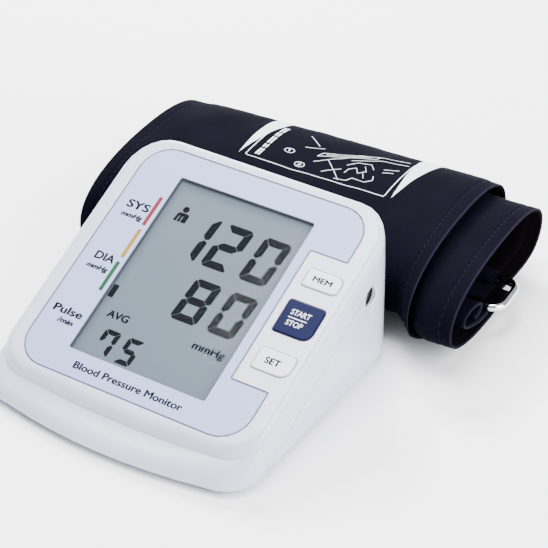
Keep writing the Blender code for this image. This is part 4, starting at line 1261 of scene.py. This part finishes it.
@dataclass
class Keys:
    """The three keys with their words and a dark ring of painted shade in the gap round each, in mm."""

    place: CaseFrame
    proud: float = 0.5
    edge: float = 0.30
    gap: float = 0.33
    # width of the dark ring of painted gap shade round each key
    line: float = 0.27
    # each key's ring of painted gap shade: name, left, right, foot and head of the key, and its corner radii
    gap_shades: tuple[tuple[str, float, float, float, float, tuple[float, ...]], ...] = (
        ("gap_shade_mem", 38.2, 52.7, 56.1, 63.8, (0.9, 2.2, 2.6, 0.9)),
        ("gap_shade_start", 37.7, 53.2, 35.2, 49.6, (1.0, 3.6, 1.8, 1.2)),
        ("gap_shade_set", 38.2, 53.2, 18.9, 28.0, (1.0, 4.0, 1.6, 1.2)),
    )

    def build(self) -> None:
        """Key caps, a ring of painted shade in the gap round each, then the words printed on them."""
        smoothed("button_mem", "keycap_mem", KEY_WHITE, self.edge * MM)
        smoothed("button_set", "keycap_set", KEY_WHITE, self.edge * MM)
        smoothed("button_start", "keycap_start", KEY_BLUE, self.edge * MM)
        # painted shade: a dark ring just below the face in each key's gap, where the gap falls in shadow
        for name, left, right, foot, head, radii in self.gap_shades:
            path = plate_outline(box_corners(left, foot, right, head), [radius + self.gap for radius in radii], 6)
            path = inset_outline(path, -self.gap * MM)
            line = outline_line(name, path, self.line * MM, -0.5 * MM, PRINT_SINK, self.place, GAP_SHADE)
            ridden(line, "case")
        level = self.proud + 0.01
        dark = dict(finish=LABEL_GREY, slot="white_plastic", level=level, style=FontStyle.BOLD)
        pale = dict(finish=LABEL_WHITE, slot="blue_key", level=level, body="key_start", style=FontStyle.BOLD)
        Label("word_mem", "MEM", 41.4, 49.4, 58.9, 2.25, body="key_mem", **dark).build(self.place)
        Label("word_set", "SET", 42.0, 48.4, 22.2, 2.6, body="key_set", **dark).build(self.place)
        Label("word_start", "START", 40.9, 49.1, 43.6, 2.2, **pale).build(self.place)
        Label("word_stop", "STOP", 41.2, 48.1, 39.0, 2.2, **pale).build(self.place)
        path = plate_outline(box_corners(40.9, 42.1, 48.6, 42.5), (0.08,) * 4, 2)
        rule = slab("word_rule", path, level * MM, (level + 0.04) * MM, self.place, LABEL_WHITE)
        ridden(rule, "key_start")


# ------------------------------------------------------------------ cuff
@dataclass
class Roll:
    """The wound strip: maps a place on the strip to a place in the row's frame.

    Distances are in metres.  front and back are the roll's sides as seen from the case, shift moves the inner turns to
    the right between two angles, and the dent sizes say where the case's back presses the roll in.
    """

    origin: Vector
    turn: float = math.radians(3.8)
    front: float = 0.0700
    back: float = 0.1680
    height: float = 0.0410
    square: float = 2.3
    width: float = 0.1424
    thick: float = 0.0030
    start: float = math.radians(-30)
    end: float = math.radians(644)
    step_share: float = 0.14
    pitch_side: float = 0.0046
    pitch_top: float = 0.0050
    pitch_foot: float = 0.0035
    middle: float = 0.0008
    shift: float = 0.0180
    shift_from: float = math.radians(205)
    shift_to: float = math.radians(330)
    dent_centre: float = 0.0053
    dent_flat: float = 0.0530
    dent_end: float = 0.0740
    dent_gap: float = 0.0008
    case_back: float = 0.0902
    case_half: float = 0.0579

    @staticmethod
    def ease(share: Array) -> Array:
        """0 below 0, 1 above 1, and 3t^2 - 2t^3 between."""
        share = np.clip(share, 0.0, 1.0)
        return share * share * (3.0 - 2.0 * share)

    def section(self, angle: Array) -> Array:
        """Middle line of the strip round the roll: distance across and height.

        It is a squared ellipse whose half width, foot and top each move in by a pitch for every full turn; the step
        from one turn to the next is eased over the last part of the turn.

        Args:
            angle: angles round the roll.

        Returns:
            The two distances, along the last axis.
        """
        turns = (angle - self.start) / math.tau
        whole = np.floor(turns)
        inside = whole + self.ease((turns - whole - 1.0 + self.step_share) / self.step_share)
        half = (self.back - self.front - self.thick) / 2 - self.pitch_side * inside
        foot = self.thick / 2 + self.pitch_foot * inside
        top = self.height - self.thick / 2 - self.pitch_top * inside
        power = 2.0 / self.square
        cosine = np.cos(angle)
        sine = np.sin(angle)
        across = np.copysign(np.abs(cosine) ** power, cosine)
        upward = np.copysign(np.abs(sine) ** power, sine)
        centre = (self.front + self.back) / 2
        return np.stack([centre + half * across, (top + foot) / 2 + (top - foot) / 2 * upward], -1)

    def straight(self, along: Array, across: Array, height: Array) -> Array:
        """Turns and moves places of the roll's own straight frame into the row's frame.

        Args:
            along: metres along the roll's axis.
            across: metres across it.
            height: metres up.

        Returns:
            Their places, along the last axis.
        """
        along, across, height = np.broadcast_arrays(along, across, height)
        cosine = math.cos(self.turn)
        sine = math.sin(self.turn)
        return np.stack([
            self.origin.x + cosine * along - sine * across,
            self.origin.y + sine * along + cosine * across,
            height,
        ], -1)

    def place(self, angle: Array, x: Array, n: Array) -> Array:
        """Maps places on the strip.

        The section is shifted to the right as the strip winds in, and squeezed towards the back where the case
        stands against the roll.

        Args:
            angle: angles round the roll.
            x: metres across the strip.
            n: metres out from its middle line.

        Returns:
            Their places, along the last axis.
        """
        angle, x, n = np.broadcast_arrays(angle, x, n)
        small = math.radians(0.5)
        way = self.section(angle + small) - self.section(angle - small)
        way = way / np.linalg.norm(way, axis=-1, keepdims=True)
        spot = self.section(angle) + np.stack([way[..., 1], -way[..., 0]], -1) * n[..., None]
        ease = self.ease((angle - self.shift_from) / (self.shift_to - self.shift_from))
        along = x + self.middle + self.shift * ease
        share = (self.dent_end - np.abs(along - self.dent_centre)) / (self.dent_end - self.dent_flat)
        reach = np.clip(along, -self.case_half, self.case_half)
        wall = (self.case_back - reach * math.sin(self.turn)) / math.cos(self.turn) + self.dent_gap
        squeeze = 1.0 - self.ease(share) * (wall - self.front) / (self.back - self.front)
        across = self.back - (self.back - spot[..., 0]) * squeeze
        return self.straight(along, across, spot[..., 1])

    def lengths(self, count: int = 4000) -> tuple[Array, Array]:
        """Measures the strip along its middle line.

        Args:
            count: how many angles.

        Returns:
            Angles round the roll and the strip's length up to each.
        """
        angles = np.linspace(self.start, self.end, count)
        steps = np.linalg.norm(np.diff(self.section(angles), axis=0), axis=1)
        return angles, np.concatenate([[0.0], np.cumsum(steps)])

    def angle_at(self, length: Array) -> Array:
        """The angle at which the strip has a given length."""
        angles, lengths = self.lengths()
        return np.interp(length, lengths, angles)


@dataclass
class Cuff:
    """The rolled strip with its hems, stitching, print and patches."""

    roll: Roll
    hem: float = 0.0052
    groove: float = 0.00030
    groove_width: float = 0.0007
    pucker: float = 0.00007
    pucker_length: float = 0.0031
    pucker_reach: float = 0.0022
    thin: float = 0.0020
    round_end: float = 0.0013
    rows: int = 520
    across: int = 64
    ribbon_steps: int = 7
    stroke_steps: int = 90

    def skin(self, angle: Array, x: Array) -> Array:
        """How far the outer face stands off the strip's middle line.

        Half the thickness, less a groove along each line of stitches, plus small puckers beside them and a slow
        unevenness of the padding, which is three products and sums of sines that fade out at the hems and under the
        hook tape.

        Args:
            angle: angles round the roll.
            x: metres across the strip.

        Returns:
            Metres out from the middle line.
        """
        half = self.roll.width / 2
        depth = np.abs(x) - (half - self.hem)
        groove = self.groove * np.exp(-((depth / self.groove_width) ** 2))
        length = np.interp(angle, *self.roll.lengths())
        pucker = self.pucker * np.sin(length * math.tau / self.pucker_length)
        pucker = pucker * np.exp(-((depth / self.pucker_reach) ** 2))
        pad = 0.00026 * np.sin(x * 95.0 + 1.3) * np.sin(length * 60.0 + x * 35.0)
        pad = pad + 0.00012 * np.sin(x * 260.0 + length * 150.0) + 0.00008 * np.sin(x * 510.0 - length * 240.0)
        inside = self.roll.ease((half - self.hem - 0.002 - np.abs(x)) / 0.010)
        inside = inside * self.roll.ease((angle - math.radians(26.0)) / math.radians(14.0))
        return self.roll.thick / 2 - groove + pucker + pad * inside

    def band(self) -> None:
        """The strip itself: a closed profile across it, carried round the roll, with rounded ends."""
        roll = self.roll
        half = roll.width / 2
        angles, lengths = roll.lengths()
        tip = np.linspace(0.0, 0.002, 8)
        length = np.unique(np.concatenate([np.linspace(0.0, lengths[-1], self.rows), tip, lengths[-1] - tip]))
        angle = np.interp(length, lengths, angles)
        spread = np.sin(np.linspace(-math.pi / 2, math.pi / 2, self.across))
        near = np.linspace(half - self.hem - 0.0016, half - self.hem + 0.0016, 7)
        x = np.unique(np.concatenate([spread * (half - 0.0004), near, -near]))
        end = np.minimum(length, lengths[-1] - length)
        taper = np.sqrt(1.0 - (1.0 - np.clip(end / self.round_end, 0.02, 1.0)) ** 2)
        outer = self.skin(angle[:, None], x[None, :]) * taper[:, None]
        edge_share = roll.ease((half - np.abs(x) - 0.0006) / 0.0085)
        lift = self.thin * (1.0 - edge_share)
        inner = (lift[None, :] - self.skin(angle[:, None] + 0.7, x[None, :])) * taper[:, None]
        middle = np.full((len(angle), 1), self.thin / 2) * taper[:, None]
        level = np.concatenate([middle, outer, middle, inner[:, ::-1]], axis=1)
        place = np.concatenate([[-half], x, [half], x[::-1]])
        points = roll.place(angle[:, None], place[None, :], level)
        rows, columns, _ = points.shape
        quads = ring_quads(rows, columns)
        flat = np.stack(np.broadcast_arrays(length[:, None], place[None, :]), -1).reshape(-1, 2)
        slots = np.tile((np.arange(columns) > len(x) + 1).astype(int), rows - 1)
        piece = mesh_piece(
            "cuff_strip", points.reshape(-1, 3), quads, [CUFF_NAVY, CUFF_LINING], end_caps(rows, columns), flat, slots,
            CLOTH_CREASE,
        )
        ridden(piece, "cuff", ["cuff_band"])

    def bladder(self) -> None:
        """The slack air bladder inside the strip: a thin lens across it, carried round the roll."""
        angle = np.radians(np.linspace(61.2, 428.8, 300))
        x = np.linspace(-0.0585, 0.0585, 40)
        rim = np.minimum(x[-1] - np.abs(x), 0.003) / 0.003
        half = 0.00008 + 0.00042 * np.sqrt(np.clip(1.0 - (1.0 - rim) ** 2, 0.0, 1.0))
        level = np.concatenate([half, -half])
        points = self.roll.place(angle[:, None], there_and_back(x)[None, :], level[None, :])
        piece = tube_piece("air_bladder", points, FOOT_RUBBER)
        ridden(piece, "cuff", ["cuff_bladder"])

    def stitches(self) -> None:
        """Two rows of stitches: each a small spindle that follows the strip."""
        roll = self.roll
        total = roll.lengths()[1][-1]
        middles = np.arange(0.003, total - 0.003, 0.0030)
        row = np.array([-1.0, 1.0]) * (roll.width / 2 - self.hem)
        middle, x = (a.reshape(-1, 1, 1) for a in np.meshgrid(middles, row, indexing="ij"))
        swing = np.linspace(0.0, math.pi, 6)[None, :, None]
        round_ = np.linspace(0.0, math.tau, 6, endpoint=False)[None, None, :]
        radius = 0.00017 * np.maximum(np.sin(swing), 0.2)
        angle = roll.angle_at(middle - 0.00095 * np.cos(swing) + 0.0 * round_)
        aside = x + radius * np.cos(round_)
        level = roll.thick / 2 - self.groove + 0.00012 + radius * np.sin(round_)
        piece = many_tubes("cuff_stitches", roll.place(angle, aside, level), THREAD_BLUE)
        ridden(piece, "cuff")

    def ribbon(self, path: Array, width: Array, raised: float = 0.00010) -> Array:
        """Rings of a thin ribbon laid on the outer face.

        Args:
            path: (n, 2) places along the strip and across it, in metres.
            width: width of the ribbon at each place.
            raised: how far it stands above the cloth.

        Returns:
            (n, 2 * ribbon_steps, 3) corners.
        """
        way = np.gradient(path, axis=0)
        way /= np.linalg.norm(way, axis=1, keepdims=True) + 1e-12
        side = np.stack([-way[:, 1], way[:, 0]], -1) * np.broadcast_to(width, len(path))[:, None] / 2
        shares = there_and_back(np.linspace(-1.0, 1.0, self.ribbon_steps))
        corners = path[:, None, :] + side[:, None, :] * shares[None, :, None]
        angle = self.roll.angle_at(corners[..., 0])
        skin = self.skin(angle, corners[..., 1])
        level = skin + np.repeat([-0.00005, raised], self.ribbon_steps)[None, :]
        return self.roll.place(angle, corners[..., 1], level)

    def line(self, points: Sequence[tuple[float, float]]) -> Array:
        """A broken line resampled at even steps.

        Args:
            points: places along and across the strip, in mm.

        Returns:
            (stroke_steps, 2) places in metres.
        """
        corner = np.array(points, float)
        steps = np.concatenate([[0.0], np.cumsum(np.linalg.norm(np.diff(corner, axis=0), axis=1))])
        even = np.linspace(0.0, steps[-1], self.stroke_steps)
        return np.stack([np.interp(even, steps, corner[:, axis]) for axis in (0, 1)], -1) * MM

    def print(self) -> None:
        """A plain fitting diagram: a frame, two end flags, two ringed numbers, a limb and a band round it."""
        thin, pen, frame_pen, word_pen = 0.26 * MM, 0.30 * MM, 0.36 * MM, 0.75 * MM
        frame_line = [(14.0, -24.0), (80.0, -24.0), (79.0, 39.0), (14.0, 39.0)]
        strokes = [(self.line(frame_line), frame_pen)]
        turn = np.linspace(0.0, math.tau, self.stroke_steps)
        for along, aside in ((65.4, -9.4), (74.0, -1.2)):
            circle = np.stack([along + 2.1 * np.cos(turn), aside + 2.1 * np.sin(turn)], -1) * MM
            strokes.append((circle, thin))
        one = [(66.6, -9.4), (64.1, -9.4), (64.9, -10.1)]
        two = [(75.0, -0.5), (75.0, -2.0), (73.4, -0.6), (72.9, -1.3), (73.4, -2.0)]
        strokes += [(self.line(one), pen), (self.line(two), pen)]
        label_box = [(62.4, 2.2), (58.6, 3.4), (46.4, 24.6), (49.6, 24.0), (62.4, 2.2)]
        lines = (
            label_box, [(59.2, 5.0), (49.6, 21.6)], [(58.5, -5.0), (54.4, 2.4)], [(44.0, -8.0), (53.4, -0.4)],
            [(68.0, 2.6), (61.0, 9.0), (50.5, 18.8)], [(74.4, 8.9), (67.8, 15.3)], [(62.7, 7.2), (77.2, 17.6)],
            [(50.3, 16.5), (46.0, 26.0), (43.0, 36.7)], [(58.0, 16.0), (50.0, 27.0), (47.0, 37.5)],
            [(77.0, 15.5), (75.5, 20.5), (72.5, 22.0), (73.0, 27.5), (69.5, 30.0), (66.0, 29.0)],
            [(70.0, 17.5), (66.0, 18.0), (63.5, 20.5), (67.5, 22.5), (64.0, 25.0), (60.0, 23.0)],
            [(63.0, 16.0), (58.5, 19.5), (56.5, 24.5), (60.5, 27.0)], [(66.5, 24.5), (70.0, 26.0)],
            [(58.0, 30.5), (54.5, 36.0)], [(61.0, 31.0), (58.5, 35.0)],
        )
        strokes += [(self.line(line), thin) for line in lines]
        for start, end in ((77.0, 70.5), (69.0, 65.5), (64.0, 57.0), (55.5, 51.5), (50.0, 43.0)):
            for aside in (-20.4, -19.1):
                strokes.append((self.line([(start, aside), (end, aside + 0.1)]), word_pen))
        flags = (((79.1, -27.2), (43.5, -28.8), (42.7, -21.8)), ((78.0, 41.8), (39.7, 46.6), (39.0, 38.6)))
        for tip, low, high in flags:
            near = self.line([tip, low, (16.0, low[1])])
            far = self.line([tip, high, (16.0, high[1])])
            strokes.append(((near + far) / 2, np.maximum(np.abs(near[:, 1] - far[:, 1]), 0.1 * MM)))
        rings = np.stack([self.ribbon(path, width) for path, width in strokes])
        ridden(many_tubes("cuff_print", rings, CUFF_PRINT), "cuff")

    def patch(self) -> None:
        """The hook tape on the outer face near the strip's outer end, with a sewn edge."""
        roll = self.roll
        half = roll.width / 2 - 0.006
        angle = np.radians(np.linspace(-24.0, 24.0, 60))
        x = np.linspace(-half, half, 80)
        base = roll.thick / 2 + 0.00030
        swell = np.minimum(half - np.abs(x), 0.0012) / 0.0012
        high = base + 0.00035 + 0.00030 * np.sqrt(np.clip(1 - (1 - swell) ** 2, 0.0, 1.0))
        level = np.concatenate([high, np.full(len(x), base)])
        points = roll.place(angle[:, None], there_and_back(x)[None, :], level[None, :])
        ridden(tube_piece("hook_tape_patch", points, HOOK_BLACK), "cuff", ["hook_patch"])

    def fold(self) -> None:
        """The strap's loose end, folded inside the right-hand mouth of the roll.

        A smoothed broken line of (across, height) places is the middle of the cloth, which is as wide as the mouth is
        deep and waves a little along its free edge.
        """
        knots = np.array([
            (112.5, 10.3), (106.0, 10.6), (99.0, 11.4), (93.5, 12.6), (89.0, 14.5), (86.8, 17.2), (88.0, 20.0),
            (92.0, 21.6), (97.0, 21.2), (100.5, 19.2), (101.7, 16.5), (100.3, 14.3), (97.0, 13.7),
        ]) * MM
        steps = np.concatenate([[0.0], np.cumsum(np.linalg.norm(np.diff(knots, axis=0), axis=1))])
        even = np.linspace(0.0, steps[-1], 120)
        path = np.stack([np.interp(even, steps, knots[:, axis]) for axis in (0, 1)], -1)
        weights = np.hanning(17)[1:-1]
        weights = weights / weights.sum()
        padded = np.concatenate([np.repeat(path[:1], 7, 0), path, np.repeat(path[-1:], 7, 0)])
        path = np.stack([np.convolve(padded[:, axis], weights, "valid") for axis in (0, 1)], -1)
        way = np.gradient(path, axis=0)
        way /= np.linalg.norm(way, axis=1, keepdims=True)
        out = np.stack([way[:, 1], -way[:, 0]], -1)
        x = np.linspace(0.0740, 0.0905, 26)
        half = 0.00050 * np.sqrt(np.clip(1.0 - (np.clip(x - 0.0898, 0.0, 1.0) / 0.00075) ** 2, 0.05, 1.0))
        wave = 0.0007 * np.sin(even * 190.0)
        edge = there_and_back(x)
        level = np.concatenate([half, -half])
        share = (edge - x[0]) / (x[-1] - x[0])
        points = self.roll.straight(
            edge[None, :] + wave[:, None] * share[None, :],
            path[:, None, 0] + out[:, None, 0] * level[None, :],
            path[:, None, 1] + out[:, None, 1] * level[None, :],
        )
        piece = cloth_tube("inner_fold", points, even, edge, FOLD_NAVY)
        ridden(piece, "cuff")

    def build(self) -> None:
        """All of the cuff's cloth."""
        self.band()
        self.bladder()
        self.fold()
        self.stitches()
        self.print()
        self.patch()


@dataclass
class StrapRing:
    """The chromed wire ring and the sewn loop that holds its hinge rod.

    hinge and free are the two rods' distances across the roll and heights; wire is the wire's radius.
    """

    roll: Roll
    hinge: tuple[float, float] = (0.1270, 0.0131)
    free: tuple[float, float] = (0.1078, 0.0131)
    left: float = -0.0550
    right: float = 0.0955
    corner: float = 0.0050
    wire: float = 0.0016
    loop_left: float = -0.0470
    loop_right: float = 0.0860
    tail: float = 0.0120
    cloth: float = 0.0012
    play: float = 0.0003
    end_round: float = 0.0008

    def ring(self) -> None:
        """A round wire carried along a rounded rectangle in the ring's plane."""
        hinge = np.array(self.hinge)
        free = np.array(self.free)
        span = float(np.linalg.norm(free - hinge))
        way = (free - hinge) / span
        corners = ((self.left, 0.0), (self.right, 0.0), (self.right, span), (self.left, span))
        path = arc_corners(corners, (self.corner,) * 4, 14)
        tangent = np.roll(path, -1, 0) - np.roll(path, 1, 0)
        tangent /= np.linalg.norm(tangent, axis=1, keepdims=True)
        side = np.stack([-tangent[:, 1], tangent[:, 0]], -1)
        turn = np.linspace(0.0, math.tau, 24, endpoint=False)
        flat = path[:, None, :] + side[:, None, :] * (self.wire * np.cos(turn))[None, :, None]
        lift = np.broadcast_to(self.wire * np.sin(turn), flat.shape[:2])
        across = hinge[0] + way[0] * flat[..., 1] - way[1] * lift
        height = hinge[1] + way[1] * flat[..., 1] - way[0] * lift
        rings = self.roll.straight(flat[..., 0], across, height)
        ridden(tube_piece("wire_ring", rings, RING_CHROME, closed=True), "ring", ["strap_ring"])

    def loop(self) -> None:
        """Cloth folded round the rod and sewn to itself: a path round the rod with a thin closed profile."""
        middle = self.wire + self.play + self.cloth / 2
        foot = self.hinge[1] - middle
        turn = np.radians(np.linspace(-90.0, 205.0, 50))
        bend = np.stack([self.hinge[0] + middle * np.cos(turn), self.hinge[1] + middle * np.sin(turn)], -1)
        tail = np.stack([np.linspace(self.hinge[0] - self.tail, self.hinge[0], 16)[:-1], np.full(15, foot)], -1)
        path = np.concatenate([tail, bend])
        way = np.gradient(path, axis=0)
        way /= np.linalg.norm(way, axis=1, keepdims=True)
        out = np.stack([way[:, 1], -way[:, 0]], -1)
        length = np.concatenate([[0.0], np.cumsum(np.linalg.norm(np.diff(path, axis=0), axis=1))])
        x = np.linspace(self.loop_left, self.loop_right, 70)
        near = np.minimum(np.minimum(x - x[0], x[-1] - x) / self.end_round, 1.0)
        swell = np.sqrt(1.0 - (1.0 - near) ** 2)
        end = np.minimum(length, length[-1] - length)
        taper = np.sqrt(1 - (1 - np.clip(end / 0.0006, 0.05, 1.0)) ** 2)
        half = self.cloth / 2 * np.maximum(swell, 0.15)
        edge = there_and_back(x)
        level = np.concatenate([half, -half])[None, :] * taper[:, None]
        across = path[:, None, 0] + out[:, None, 0] * level
        height = path[:, None, 1] + out[:, None, 1] * level
        points = self.roll.straight(edge[None, :], across, height)
        piece = cloth_tube("ring_tab", points, length, edge, LOOP_NAVY)
        ridden(piece, "cuff", ["ring_loop"])

    def build(self) -> None:
        """Ring and loop."""
        self.ring()
        self.loop()


# ------------------------------------------------------------------ studio
@dataclass
class Studio:
    """Floor, lights and camera."""

    origin: Vector
    eye: tuple[float, float, float] = (0.3443, -0.4492, 0.4582)
    azimuth: float = 32.46
    elevation: float = 34.96
    lens: float = 130.24
    daylight: float = 0.62

    def floor(self) -> None:
        """A wide pale sheet that curves up far behind the object."""
        y = np.concatenate([np.linspace(-3.0, 1.6, 12), 1.6 + 0.8 * np.sin(np.linspace(0.1, math.pi / 2, 16))])
        z = np.concatenate([np.zeros(12), 0.8 * (1 - np.cos(np.linspace(0.1, math.pi / 2, 16)))])
        x = np.linspace(-4.0, 4.0, 9)
        points = np.stack(np.broadcast_arrays(x[None, :], y[:, None], z[:, None]), -1)
        quads = ring_quads(len(y), len(x), wrap_columns=False)[:, ::-1]
        mesh = bpy.data.meshes.new("floor")
        mesh.from_pydata(points.reshape(-1, 3).tolist(), [], quads.tolist())
        mesh.shade_smooth()
        mesh.materials.append(FLOOR_WHITE.material())
        sheet = bpy.data.objects.new("floor", mesh)
        bpy.context.scene.collection.objects.link(sheet)

    def light(self, name: str, place: Sequence[float], aim: Sequence[float], size: float, power: float) -> None:
        """A square soft box.

        Args:
            name: its name.
            place: where it stands.
            aim: where it points.
            size: its side, in metres.
            power: its power, in watts.
        """
        lamp = bpy.data.lights.new(name, "AREA")
        lamp.size = size
        lamp.energy = power
        holder = bpy.data.objects.new(name, lamp)
        holder.location = place
        way = Vector(aim) - Vector(place)
        holder.rotation_mode = "QUATERNION"
        holder.rotation_quaternion = way.to_track_quat("-Z", "Y")
        bpy.context.scene.collection.objects.link(holder)

    def build(self) -> None:
        """Puts up the studio."""
        self.floor()
        self.light("key_light", (1.15, -0.10, 0.80), (0.0, 0.0, 0.0), 1.0, 44.0)
        self.light("top_light", (-0.2, 0.1, 1.5), (0.0, 0.0, 0.0), 0.8, 44.0)
        self.light("back_light", (-0.75, 0.85, 0.95), (0.0, 0.05, 0.03), 0.5, 60.0)
        world = bpy.data.worlds.new("studio")
        world.use_nodes = True
        back = world.node_tree.nodes["Background"]
        back.inputs["Color"].default_value = (0.95, 0.96, 1.0, 1.0)
        back.inputs["Strength"].default_value = self.daylight
        bpy.context.scene.world = world
        camera = bpy.data.cameras.new("camera")
        camera.lens = self.lens
        camera.sensor_width = 36.0
        camera.clip_start = 0.02
        holder = bpy.data.objects.new("camera", camera)
        holder.location = self.origin + Vector(self.eye)
        turn = math.radians(self.azimuth)
        rise = math.radians(self.elevation)
        back_way = Vector((math.sin(turn) * math.cos(rise), -math.cos(turn) * math.cos(rise), math.sin(rise)))
        holder.rotation_mode = "QUATERNION"
        holder.rotation_quaternion = back_way.to_track_quat("Z", "Y")
        bpy.context.scene.collection.objects.link(holder)
        bpy.context.scene.camera = holder


def main() -> None:
    """Builds every sub-assembly in turn."""
    logging.basicConfig(level=logging.INFO, format="%(message)s")
    place = CaseFrame.from_model()
    Studio(place.origin).build()
    Innards().build()
    Case().build()
    FacePanel(place).build()
    Display(place).build()
    Keys(place).build()
    roll = Roll(place.origin)
    Cuff(roll).build()
    StrapRing(roll).build()


if __name__ == "__main__":
    main()
